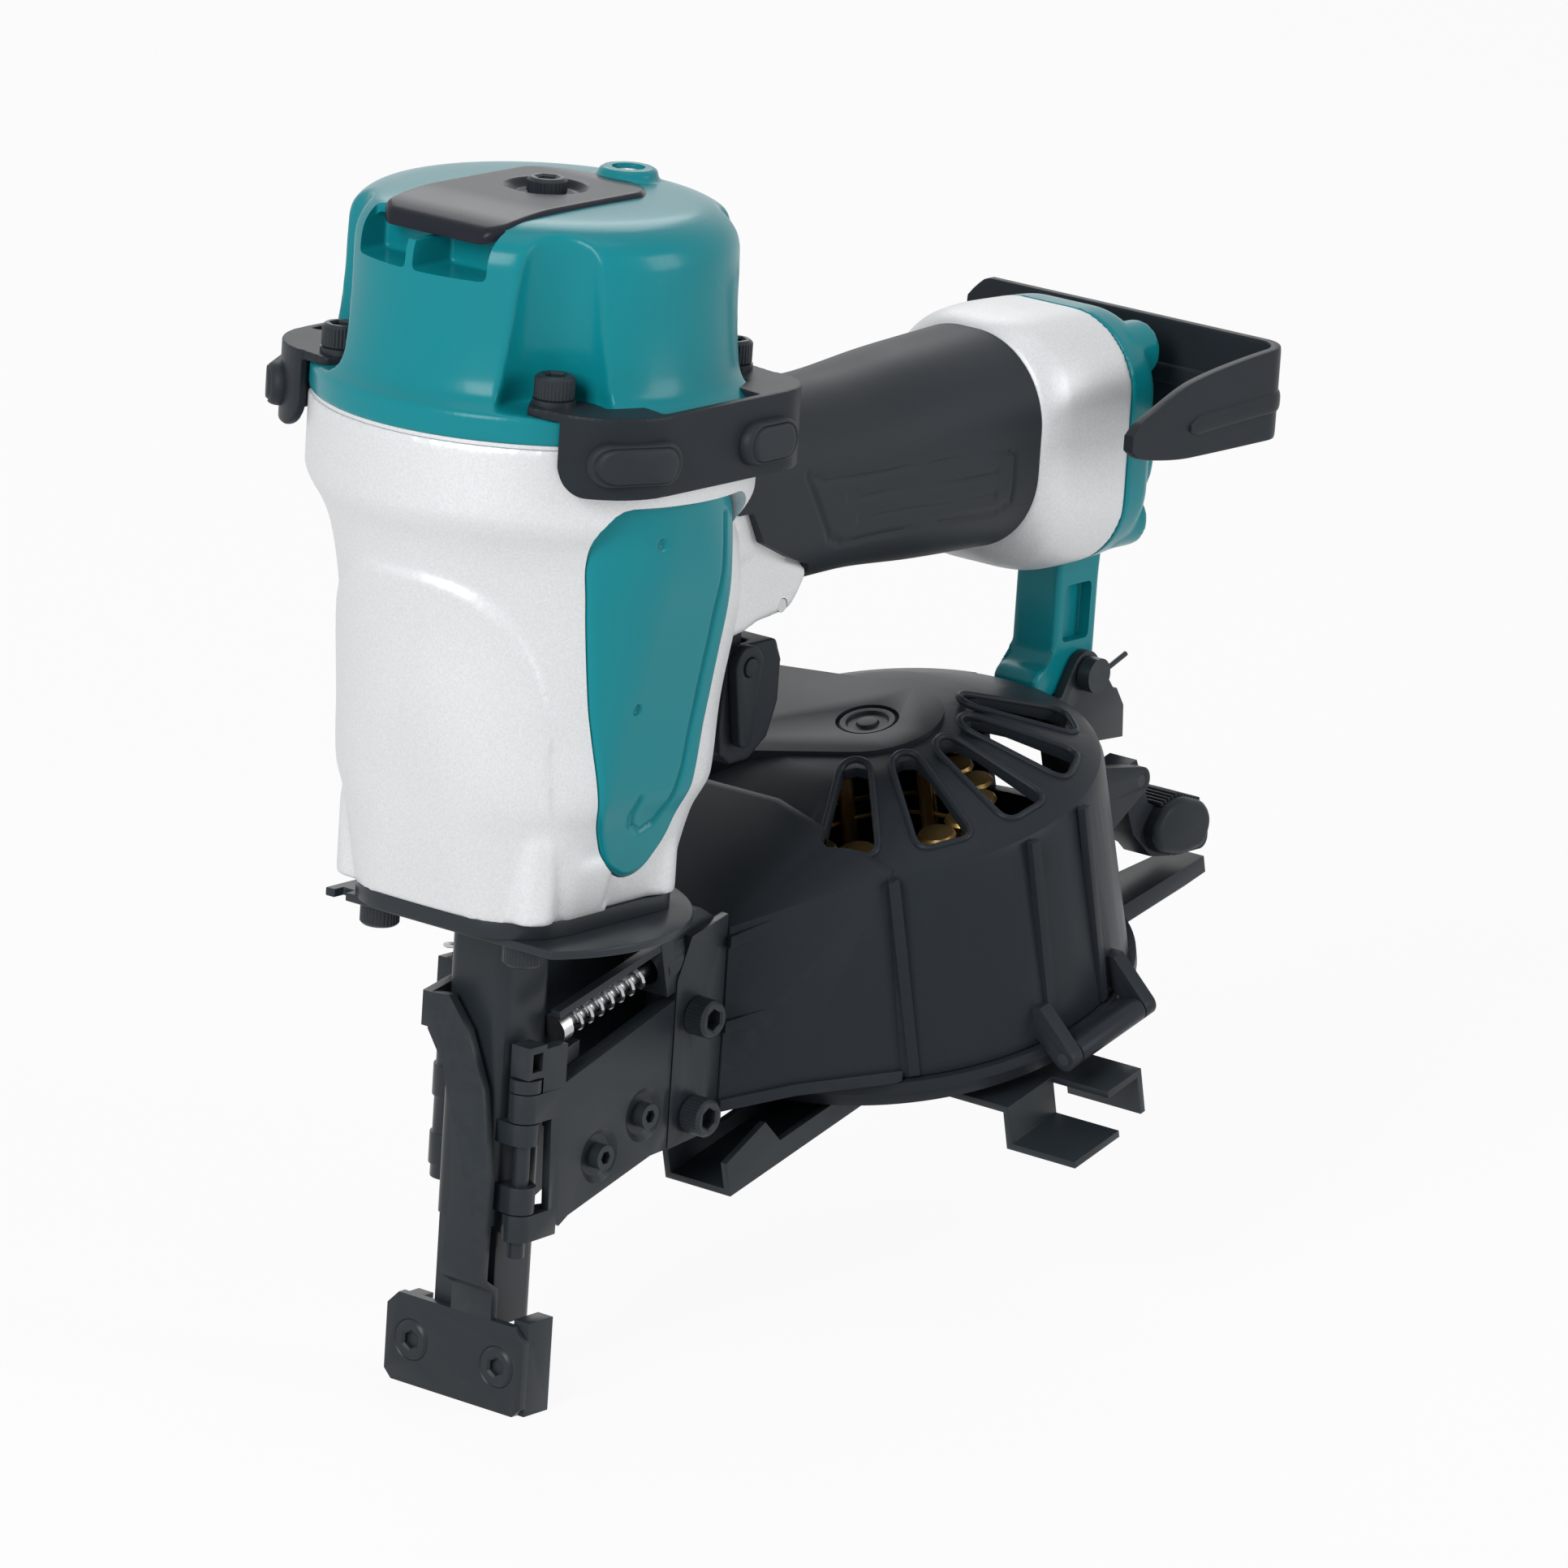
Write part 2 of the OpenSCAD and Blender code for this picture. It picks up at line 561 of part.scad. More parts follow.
module end_bolt_spots() {
    for (y = [-1, 1], z = [-1, 1]) translate([shell_end_x, y * 14.5, flare_z + z * 19]) children();
}
module end_cap() {
    color(TEAL) difference() {
        union() {
            loft([
                ring_x(shell_end_x, flare_z, 24.5, 28.6, 18),
                ring_x(shell_end_x + 7, flare_z, 24, 28, 17.5),
                ring_x(shell_end_x + cap_plate_t, flare_z, 20.5, 24.5, 16)]);
            rod_x(shell_end_x + 5, boss_end_x, 0, inlet_z, boss_r);
            rod_x(shell_end_x + 5, boss_end_x, 0, hook_z - 3, 11.5);
            slab(shell_end_x + 5, boss_end_x, -11.5, 11.5, inlet_z, hook_z - 3);
            // Arm that carries the back of the magazine
            side_plate([[arm_x0, 165], [arm_x0, mount_pin[1] + 3], [172.5, mount_pin[1] + 1],
                [172.5, mount_pin[1] - 4.5], [arm_x1 - 4, mount_pin[1] - 6], [arm_x1, mount_pin[1] - 1],
                [arm_x1, 150], [arm_x1 + 1, 162], [arm_x1, 170]], -6, 6);
        }
        rod_x(shell_end_x - 1, boss_end_x + 1, 0, inlet_z, inlet_r + 1.6);
        rod_x(shell_end_x + 10, boss_end_x + 1, 0, hook_z, 2.5);
        end_bolt_spots() rod_x(-1, 15, 0, 0, 2.2);
        end_bolt_spots() rod_x(cap_plate_t - 5, 15, 0, 0, 4);
        rod_y(mount_pin[0], -10, 10, mount_pin[1], 2.55);
        on_magazine() drum_solid(-CLEAR, 0);
        // Hollow between the arm's ribs
        slab(arm_x0 + 3, arm_x1 - 3, -7, -3, 136, 149);
        slab(arm_x0 + 3, arm_x1 - 3, 3, 7, 136, 149);
    }
}
module end_cap_bolts() {
    color(BLACK) end_bolt_spots() translate([cap_plate_t - 5, 0, 0]) rotate([0, 90, 0]) cap_screw(4, 15);
}
module air_inlet() {
    color(BRASS) difference() {
        rod_x(shell_end_x + 1, boss_end_x, 0, inlet_z, inlet_r + 1.6);
        rod_x(shell_end_x - 1, boss_end_x + 1, 0, inlet_z, inlet_r);
    }
}
module hanging_hook() {
    color(BLACK) difference() {
        union() {
            // Crossbar behind the inlet boss
            slab(hook_x, hook_x + hook_t, -hook_reach - hook_t, hook_reach - 4, hook_z - hook_strap / 2 + 2,
                hook_z + hook_strap / 2 + 2);
            // Arm that runs forward beside the handle
            side_plate([[hook_x + hook_t, hook_z + hook_strap / 2 + 2], [hook_x - 14, hook_z + hook_strap / 2 + 1],
                [hook_x - 34, hook_z + hook_strap / 2 - 1.5], [hook_x - 54, hook_z + 2],
                [hook_x - 55.5, hook_z - 1], [hook_x - 54.5, hook_z - 5], [hook_x - 50, hook_z - 6.6],
                [hook_x - 34, hook_z - hook_strap / 2 + 1.9], [hook_x + hook_t, hook_z - hook_strap / 2 + 2]],
                -hook_reach - hook_t, -hook_reach);
        }
        rod_x(hook_x - 1, hook_x + 5, 0, hook_z, 3.05);
    }
}
module hook_screw() {
    color(BLACK) translate([hook_x + hook_t + 0.35, 0, hook_z]) rotate([0, 90, 0]) {
        cap_screw(5, 14);
        translate([0, 0, -hook_t - 0.69]) cylinder(r = 3, h = hook_t + 0.7);
    }
}

// ---------------------------------------------------------------- trigger

module trigger_valve() {
    color(BLACK) difference() {
        translate([plunger_x, 0, cheek_z + 1]) cylinder(r = 6.45, h = 20);
        translate([plunger_x, 0, cheek_z - 2]) cylinder(r = 2.4, h = 18);
        rod_y(plunger_x, -20, 20, cheek_z + 5, 1.5);
    }
}
module valve_plunger() {
    color(BRIGHT) difference() {
        translate([plunger_x, 0, cheek_z - 3]) cylinder(r = 2.35, h = 15);
        // Slot that rides over the cross pin
        slab(plunger_x - 1.8, plunger_x + 1.8, -5, 5, cheek_z + 1.5, cheek_z + 7.5);
    }
}
module valve_pin() { color(BRIGHT) rod_y(plunger_x, -14.4, 14.4, cheek_z + 5, 1.5); }
module trigger() {
    color(BLACK) difference() {
        side_plate([[56.5, 149], [57.5, 154], [60, 155], [73, 155], [75.2, 150], [75, 141],
            [72, 133.5], [66, 129.5], [60, 129.2], [56, 132], [55.4, 138]], -10.5, 10.5);
        // Channel between the trigger's cheeks, under the web that pushes the plunger
        difference() {
            side_plate([[54, 158], [74, 158], [72.6, 142], [66, 134], [54, 133]], -7.8, 7.8);
            slab(66.5, 73, -8, 8, 152.6, 160);
        }
        rod_y(trigger_pin[0], -20, 20, trigger_pin[1], 2.05);
    }
}
module trigger_shaft() {
    color(BRIGHT) rod_y(trigger_pin[0], -13.8, 10.8, trigger_pin[1], 2);
    // Bracket under the housing that carries the shaft
    color(BLACK) difference() {
        side_plate([[44, cheek_z + 0.75], [44, 136], [47, 134], [53.4, 134], [53.4, 145.5], [64.5, 147.5],
            [65, cheek_z + 2.85], [61.7, cheek_z + 2.6], [55.8, cheek_z + 0.4]], -7.4, 7.4);
        loft(housing_rings());
        translate([plunger_x, 0, cheek_z - 2]) cylinder(r = 6.5, h = 8);
    }
}
module mode_lever() {
    color(STEEL) difference() {
        translate([trigger_pin[0], -10.8, trigger_pin[1]]) rotate([90, 0, 0]) linear_extrude(2.6) hull() {
            circle(r = 4.6);
            translate([0, -15.5]) circle(r = 2.2);
        }
        rod_y(trigger_pin[0], -20, 20, trigger_pin[1], 2.05);
    }
}

// ---------------------------------------------------------------- nose

module nose_bolt_spots() { for (x = [-16.8, 16.8], y = [-19.5, 19.5]) translate([x, y, 0]) children(); }
module nose_plate() {
    color(STEEL) difference() {
        translate([0, 0, plate_z]) linear_extrude(plate_t) polygon(section(27.2, 27.7, 26.7, 16.5, 9));
        translate([0, 0, plate_z - 1]) cylinder(r = guide_r + 1, h = 10);
        nose_bolt_spots() translate([0, 0, plate_z - 1]) cylinder(d = 5.4, h = 10);
    }
}
module wing_plate() {
    color(BLACK) difference() {
        intersection() {
            translate([0, 0, wing_z]) cylinder(r = 39.5, h = wing_t);
            slab(-23, 38, -50, 29.5, wing_z - 1, wing_z + 5);
        }
        translate([0, 0, wing_z - 1]) cylinder(r = guide_r + 1, h = 10);
        nose_bolt_spots() translate([0, 0, wing_z - 1]) cylinder(d = 5.4, h = 10);
        slab(-30, -20, 24, 27, wing_z - 1, wing_z + 5);
    }
}
module nose() {
    color(STEEL) difference() {
        union() {
            translate([0, 0, wing_z - flange_t]) linear_extrude(flange_t) polygon(section(9, 14, 9, 4, 6));
            translate([0, 0, nose_tip_z]) linear_extrude(wing_z - flange_t - nose_tip_z)
                polygon(section(nose_half, nose_half, nose_half, 3, 3));
            // Wall beside the nail path, and the post that takes the magazine bolts
            side_plate([[4, 30], [14, 33], [34, 42], [plate_x1, 46], [plate_x1, 96], [44, wing_z - 0.5],
                [4, wing_z - 0.5]], 5.6, nose_half);
            side_plate([[door_end_x + 0.6, 48.5], [plate_x1, 50], [plate_x1, 96], [50, 100],
                [door_end_x + 0.6, 100]], -door_y + 2, -6.5);
            side_plate([[door_end_x + 0.6, 95], [plate_x1, 95], [50, 100], [door_end_x + 0.6, 100]],
                -door_y + 2, nose_half);
            // Two hinge knuckles for the door
            for (z = [[58.3, 63], [43.4, 49.2]]) hull() {
                translate([door_pin[0], door_pin[1], z[0]]) cylinder(r = knuckle_r, h = z[1] - z[0], $fn = 32);
                slab(-7, 2, -8, -6, z[0], z[1]);
            }
        }
        translate([0, 0, nose_tip_z - 1]) cylinder(r = guide_r, h = 100);
        // Mouth through which the nails enter
        slab(0, nose_half + 1, -5.2, 5.2, 30, 80);
        translate([door_pin[0], door_pin[1], 30]) cylinder(r = door_pin_r + 0.05, h = 50);
        for (b = mag_bolt) rod_y(b[0], -30, -6, b[1], 2.5);
        on_feed() feed_barrel(0.05);
        on_feed() translate([0, 0, -15.4]) cylinder(r = 3.65, h = 5);
        // Front cut back so that the foot's plate can rise past it
        slab(-nose_half - 1, foot_x + foot_t + 0.4, -nose_half - 1, nose_half + 1, nose_tip_z - 1,
            foot_h + contact_travel + 10.4);
    }
}
module nose_bolts() { color(BLACK) nose_bolt_spots() translate([0, 0, wing_z]) rotate([180, 0, 0]) cap_screw(5, 12); }

module contact_foot() {
    color(STEEL) difference() {
        union() {
            // Front plate of the foot
            translate([foot_x + foot_t, 0, 0]) rotate([90, 0, -90]) linear_extrude(foot_t) foot_face(0);
            slab(foot_x + 2, 0.5, -foot_w / 2 + 0.6, foot_w / 2 - 0.6, 0, outlet_l);
            cylinder(r = guide_r + 3, h = outlet_l);
            slab(foot_x + 2, 1.8, -foot_w / 2 + 0.3, -foot_w / 2 + 4.4, 0, foot_h + 1);
            slab(foot_x + 2, 1.8, foot_w / 2 - 4.4, foot_w / 2 - 0.3, 0, foot_h - 2);
        }
        for (y = [-screw_y, screw_y]) translate([foot_x, y, foot_screw_z]) rotate([0, 90, 0]) {
            cylinder(d = 5, h = 12);
            translate([0, 0, -0.02]) cylinder(d1 = 9.444, d2 = 5, h = 2.02);
        }
        translate([0, 0, -1]) cylinder(r = guide_r + 0.4, h = 30);
    }
}
module foot_face(inset) {
    w = foot_w / 2 - inset;
    polygon([[-w, 2], [-w + 2, 0], [w - 2, 0], [w, 2], [w, foot_h - 3], [w - 3, foot_h],
        [-w + 3, foot_h], [-w, foot_h - 3]]);
}
module foot_screws() {
    color(BLACK) for (y = [-screw_y, screw_y]) translate([foot_x, y, foot_screw_z]) rotate([0, 90, 0]) difference() {
        union() {
            cylinder(d1 = 9.4, d2 = 5, h = 2);
            cylinder(d = 5, h = 5.5);
        }
        translate([0, 0, -0.1]) cylinder(d = 3.4, h = 1.6, $fn = 6);
    }
}
module contact_arm() {
    color(STEEL) {
        // Blade in front of the nose, with its joggle down to the foot
        translate([arm_x + arm_t, 0, 0]) rotate([90, 0, -90]) linear_extrude(arm_t)
            polygon([[9.6, 31], [10, 50], [7.2, 70], [2, arm_top - 10], [-3.5, arm_top - 3.5],
                [-8.8, arm_top - 4], [-8.8, arm_top - 12], [-4, 73], [-0.5, 58], [-0.2, 44], [-1.4, 31]]);
        side_plate([[arm_x, 31.2], [arm_x, 28], [foot_x, foot_h + 6], [foot_x, foot_h],
            [foot_x + foot_t, foot_h], [foot_x + foot_t, foot_h + 6.4], [arm_x + arm_t, 28.6],
            [arm_x + arm_t, 31.2]], -9.6, 1.4);
        // Wing that wraps around to the link
        side_plate([[arm_x, arm_top - 11.6], [arm_x, arm_top - 4], [link[0] + 3, arm_top],
            [link[0] + 3, arm_top - 7], [arm_x + 6, arm_top - 11.6]], nose_half + 0.35, link_foot_y);
    }
}
module contact_link() {
    color(STEEL) {
        // Rod beside the nose, joined to the arm's wing by a foot
        translate([link[0], link[1], 46]) cylinder(r = 2, h = arm_top - 46);
        slab(link[0] - 3.5, link[0] + 3, link_foot_y, link[1] + 3.4, arm_top - 6.6, arm_top - 0.6);
    }
}
module contact_spring() {
    color(BRIGHT) translate([link[0], link[1], 0]) coil_spring(3.4, 0.55, arm_top - 0.55, wing_z - 0.1, 3);
}
module depth_dial() {
    color(STEEL) difference() {
        translate([link[0], link[1], 43]) union() {
            cylinder(r = 4, h = 28);
            for (z = [3, 18]) translate([0, 0, z]) cylinder(r = 4.5, h = 7);
        }
        translate([link[0], link[1], 40]) cylinder(r = 2.05, h = 40);
    }
}

// ---------------------------------------------------------------- feeder

// Outer shape of the feed cylinder and its mounting block
module feed_barrel(grow = 0) {
    translate([0, 0, 17 - grow])
        cylinder(r = feed_r + 1.6 + grow, h = feed_piston_z + feed_piston_h + feed_travel - 15.4 + 2 * grow);
    translate([-7 - grow, -5.6 - grow, 15.5 - grow])
        cube([12.4 + 2 * grow, 11.2 + 2 * grow, 4 + 2 * grow]);
}
module feed_cylinder() {
    color(STEEL) on_feed() difference() {
        union() {
            feed_barrel();
            // Strip over the spring
            translate([-7, -5.4, -18]) cube([1.6, 2.4, 34]);
        }
        // Piston bore, rod bore and spring pocket
        translate([0, 0, feed_piston_z - 0.3]) cylinder(r = feed_r, h = feed_piston_h + feed_travel + 0.7);
        translate([0, 0, 14]) cylinder(r = feed_rod_r + 0.05, h = 10);
        translate([0, 0, 14]) cylinder(r = 3.6, h = feed_wall - 14);
    }
}
module feed_piston() {
    color(BRIGHT) on_feed() {
        translate([0, 0, feed_piston_z]) cylinder(r = feed_r - 0.05, h = feed_piston_h);
        translate([0, 0, -13]) cylinder(r = feed_rod_r, h = feed_piston_z + 13.1);
        translate([0, 0, -15]) cylinder(r = 3.3, h = 3);
    }
}
module feed_spring() { color(BRIGHT) on_feed() coil_spring(2.7, 0.6, -11.9, feed_wall - 0.4 - feed_travel, 7); }
module feed_pawl() {
    color(STEEL) difference() {
        side_plate([[9.5, 75.5], [15, 77], [15, 66], [12, 58], [9.5, 58]], -10.5, -6);
        on_feed() translate([0, 0, -16]) cylinder(r = 3.3, h = 8);
    }
}
module feeder_door() {
    color(STEEL) difference() {
        union() {
            side_plate([[2.4, 41.5], [6, 38.8], [9, 40.6], [35.4, 48.4], [door_end_x, 48.8],
                [door_end_x, 81.8], [3.5, 69.7], [1.4, 66]], -door_y, -door_y + door_t);
            // Top edge turned inwards
            side_plate([[3.5, 69.7], [door_end_x, 81.8], [door_end_x, 79.6], [3.5, 67.5]], -door_y, -door_y + 4);
            for (z = [[63.3, 69.5], [37.3, 43.1]]) hull() {
                translate([door_pin[0], door_pin[1], z[0]]) cylinder(r = knuckle_r, h = z[1] - z[0], $fn = 32);
                slab(0.5, 5, -door_y, -door_y + 4, z[0], z[1]);
            }
            // Retainer over the head of the hinge pin
            slab(door_pin[0] - 2.8, door_pin[0] + 2.8, door_pin[1] - 3, door_pin[1] + 2, 73, 80);
            slab(door_pin[0] + 1, 5.6, -door_y, -door_y + 3, 66, 79);
        }
        translate([door_pin[0], door_pin[1], 30]) cylinder(r = door_pin_r + 0.05, h = 46);
        translate([door_pin[0], door_pin[1], 69.5]) cylinder(r = 3.7, h = 3.4);
        slab(door_pin[0] - 1.6, door_pin[0] + 1.6, -20, -10, 74.5, 78.5);
        for (p = [[18.2, 51.8], [32.4, 58.1]]) {
            translate([p[0], -door_y - 1, p[1]]) rotate([-90, 0, 0]) cylinder(d1 = 14.5, d2 = 9, h = 2.2);
            rod_y(p[0], -20, -5, p[1], 1.6);
        }
    }
    // Pressed bosses behind the dimples
    color(STEEL) for (p = [[18.2, 51.8], [32.4, 58.1]]) difference() {
        rod_y(p[0], -door_y + door_t - 0.4, -door_y + door_t + 1.6, p[1], 6.6);
        rod_y(p[0], -20, -5, p[1], 1.6);
        translate([p[0], -door_y - 1, p[1]]) rotate([-90, 0, 0]) cylinder(d1 = 14.5, d2 = 9, h = 2.2);
    }
}
module door_screws() {
    color(BLACK) for (p = [[18.2, 51.8], [32.4, 58.1]])
        translate([p[0], -door_y + 1.2, p[1]]) rotate([90, 0, 0]) cap_screw(3.2, 4, 3);
}
module door_pin() {
    color(BRIGHT) translate([door_pin[0], door_pin[1], 0]) {
        translate([0, 0, 33.4]) cylinder(r = door_pin_r, h = 37);
        translate([0, 0, 69.8]) cylinder(r = 3.4, h = 2.8);
    }
}

// ---------------------------------------------------------------- magazine

module magazine_plate() {
    color(STEEL) difference() {
        side_plate([[door_end_x + 0.5, 48.6], [plate_x1, 50.2], [plate_x1, 98], [45, 95],
            [door_end_x + 0.5, 86]], -door_y, -door_y + door_t);
        for (b = mag_bolt) rod_y(b[0], -30, -6, b[1], 2.7);
        on_feed() feed_barrel(0.05);
    }
}
module magazine_bolts() {
    color(BLACK) for (b = mag_bolt) translate([b[0], -door_y, b[1]]) rotate([90, 0, 0]) {
        cap_screw(5, 7.5, 5.4);
        difference() {
            cylinder(d = 9.4, h = 1);
            translate([0, 0, -1]) cylinder(d = 4.9, h = 3);
        }
    }
}

// Solid inside a given skin of the drum: straight wall, shoulder and flat top
module drum_solid(inset, floor_h) {
    rotate_extrude() polygon([[0, floor_h], [drum_r - inset, floor_h], [drum_r - 1.3 - inset, drum_h - 2 - inset],
        [drum_r - 1.9 - inset, drum_h - inset], [drum_r - 3.6 - inset, drum_h + 1.4 - inset],
        [dome_r + 6, dome_h - 2.4 - inset], [dome_r, dome_h - 1 - inset], [0, dome_h - 0.6 - inset]]);
}
module neck_solid(inset) {
    back = inset > 0 ? 1 : 0;
    hull() {
        slab(plate_x1 + 0.2 - back, plate_x1 + 1.2, -15.4 + inset, 9.5 - inset, 56 + inset, 95 - inset);
        on_magazine() slab(13.8 - drum_r, 15.8 - drum_r, 17.8 - drum_r + inset, drum_r - 15.8 - inset,
            -back, drum_h + 1 - inset);
        on_magazine() slab(13.8 - drum_r, 15.8 - drum_r, -4, drum_r - 27.8 - inset, 20, dome_h - 2 - inset);
    }
}
// Flanges along the neck's left side
module neck_ribs() {
    translate([plate_x1 + 0.2, -14.6, 0]) rotate([0, 0, -23.6]) {
        for (r = [[93.2, 101.8], [74.4, 80.2], [57, 60]])
            side_plate([[0, r[0]], [18, r[0] + (r[1] - r[0]) * 0.7], [44, r[1]], [44, r[1] - 2.6],
                [18, r[0] + (r[1] - r[0]) * 0.7 - 2.6], [0, r[0] - 2.6]], -2.2, 2.4);
    }
}
module window_cut(turn) {
    rotate([0, 0, turn]) translate([0, 0, 40]) linear_extrude(30)
        polygon([[dome_r + 0.5, -2.6], [drum_r - 8.8, -5.8], [drum_r - 7.2, -4.4], [drum_r - 7.2, 4.4],
            [drum_r - 8.8, 5.8], [dome_r + 0.5, 2.6], [dome_r - 0.8, 0]]);
}
module magazine_cover() {
    color(BLACK) difference() {
        union() {
            on_magazine() drum_solid(0, 0);
            neck_solid(0);
            neck_ribs();
            on_magazine() {
                // Flat tongue across the top of the drum
                hull() {
                    translate([1, 1, dome_h - 6]) cylinder(r = 17, h = 6, $fn = 32);
                    translate([-16, drum_r - 19.8, dome_h - 6]) cylinder(r = 15, h = 6, $fn = 32);
                    translate([-2, drum_r - 17.8, dome_h - 6]) cylinder(r = 14, h = 6, $fn = 32);
                    translate([-16, drum_r - 19.8, drum_h - 2]) cylinder(r = 16, h = 2, $fn = 32);
                }
                // Ribs down the drum's wall
                for (a = [-137, -100, -80]) rotate([0, 0, a]) slab(drum_r - 1, drum_r + 0.8, -1.2, 1.2, 0.5, drum_h - 0.5);
                tray_hinge_lugs();
                lever_lugs();
            }
        }
        on_magazine() {
            drum_solid(drum_t, -1);
            for (i = [0:windows - 1]) window_cut(-148.5 + i * 27.6);
            translate([0, 0, dome_h - 1]) cylinder(r = 7, h = 3);
            translate([0, tray_pin[0], tray_pin[1]]) rod_x(-20, 26, 0, 0, 1.55);
            translate([lever_pin[0], -40, lever_pin[1]]) rod_y(0, 0, 60, 0, 1.55);
            translate([0, 0, -2]) cylinder(r = tray_r + CLEAR, h = 2);
            translate([drum_r - 7.8, -8, 20]) cube([12, 16, 30]);
        }
        neck_solid(drum_t);
    }
}
module tray_hinge_lugs() {
    for (x = [-13.5, 13]) hull() {
        translate([0, tray_pin[0], tray_pin[1]]) rod_x(x, x + 3.5, 0, 0, tray_knuckle_r);
        slab(x, x + 3.5, -drum_r, -drum_r + 3, 3, 9);
    }
}
module lever_lugs() {
    for (y = [lever_y - 7.2, lever_y + 4.2]) hull() {
        rod_y(lever_pin[0], y, y + 3, lever_pin[1], 3.2);
        slab(drum_r - 7.8, drum_r - 5.8, y, y + 3, 16, 34);
    }
}
module magazine_tray() {
    color(BLACK) on_magazine() difference() {
        union() {
            translate([0, 0, -tray_h]) cylinder(r1 = tray_r - 3, r2 = tray_r - 1, h = tray_h - CLEAR);
            translate([0, 0, -2.8]) cylinder(r = tray_r, h = 2.8 - CLEAR);
            hull() {
                translate([0, tray_pin[0], tray_pin[1]]) rod_x(-9.6, 12.6, 0, 0, tray_knuckle_r);
                slab(-9.6, 12.6, -tray_r + 1, -tray_r + 4, -6, -1.5);
            }
            // Lug under the latch lever
            hull() {
                slab(tray_r - 5.5, tray_r - 3.5, lever_y - 7, lever_y + 7, -tray_h, -2.5);
                slab(lever_pin[0] + 15, lever_pin[0] + 23, lever_y - 4.5, lever_y + 4.5, -tray_h - 3, -tray_h + 1);
            }
            // Rail that the shingle gauge slides on
            slab(-40, 12, -gauge_y + 3, -3, gauge_h + gauge_t + 0.3, -tray_h + 0.5);
        }
        translate([4, -gauge_y / 2, gauge_h]) cylinder(r = 2.5, h = 6.2);
        translate([0, 0, -tray_h + 2]) cylinder(r = tray_r - 4, h = tray_h);
        translate([0, tray_pin[0], tray_pin[1]]) rod_x(-20, 26, 0, 0, 1.55);
    }
    // Spindle for the nail coil
    color(BLACK) on_magazine() translate([0, 0, -tray_h + 1.9]) cylinder(r = 6, h = 34);
}
module magazine_pins() {
    // Hinge pin of the tray, and pivot pin of the latch lever
    color(BRIGHT) on_magazine() {
        translate([0, tray_pin[0], tray_pin[1]]) rod_x(-13.5, 16.5, 0, 0, 1.5);
        rod_y(lever_pin[0], lever_y - 7.2, lever_y + 7.2, lever_pin[1], 1.5);
    }
}
module nail_platform() {
    color(BLACK) on_magazine() difference() {
        union() {
            translate([0, 0, -tray_h + 2]) cylinder(r = coil_r + 2, h = 2.1);
            translate([0, 0, -tray_h + 2]) cylinder(r = 9, h = 6);
        }
        translate([0, 0, -tray_h + 1]) cylinder(r = 6.3, h = 10);
    }
}
module nail_coil() {
    color(BRASS) on_magazine() difference() {
        translate([0, 0, -tray_h + 4.5]) cylinder(r = coil_r, h = nail_l);
        translate([0, 0, -tray_h + 3]) cylinder(r = 14, h = nail_l + 4);
    }
}
module latch_lever() {
    color(BLACK) on_magazine() difference() {
        translate([lever_pin[0], 0, lever_pin[1]]) union() {
            side_plate([[-3.4, 3], [3.4, 3], [6, -9], [18, -18], [17, -24], [12, -25], [5, -22],
                [-0.5, -14]], lever_y - 3.8, lever_y + 3.8);
            // Thumb pad
            hull() for (q = [[6, -16, 3], [13, -13.5, 3], [21, -19, 2.6], [20, -23.5, 2.6], [11, -21, 2.6]])
                rod_y(q[0], lever_y - 6.5, lever_y + 6.5, q[1], q[2]);
        }
        rod_y(lever_pin[0], lever_y - 10, lever_y + 10, lever_pin[1], 1.55);
    }
}
module rear_bracket() {
    color(BLACK) difference() {
        union() {
            // Block on the drum's shoulder
            side_plate([[176, 113], [203.6, 111.5], [203, 119], [200, 123.4], [176, 124.5]], -8.6, 8.6);
            for (y = [-8.6, 6.3]) hull() {
                rod_y(mount_pin[0], y, y + 2.3, mount_pin[1], 5);
                slab(178, 200, y, y + 2.3, 118, 122);
            }
        }
        rod_y(mount_pin[0], -20, 20, mount_pin[1], 2.55);
        side_plate([[165, mount_pin[1] - 7.6], [196, mount_pin[1] - 7.6], [199, 150], [165, 150]], -6.3, 6.3);
        on_magazine() drum_solid(-0.02, 0);
    }
}
module mount_pin() {
    color(BLACK) {
        rod_y(mount_pin[0], -11, 10, mount_pin[1], 2.5);
        rod_y(mount_pin[0], -12.2, -9, mount_pin[1], 4);
        // Spring clip through the pin's head
        translate([mount_pin[0] + 3, -10.6, mount_pin[1]]) rotate([0, 70, 0]) cylinder(r = 0.6, h = 9);
    }
}
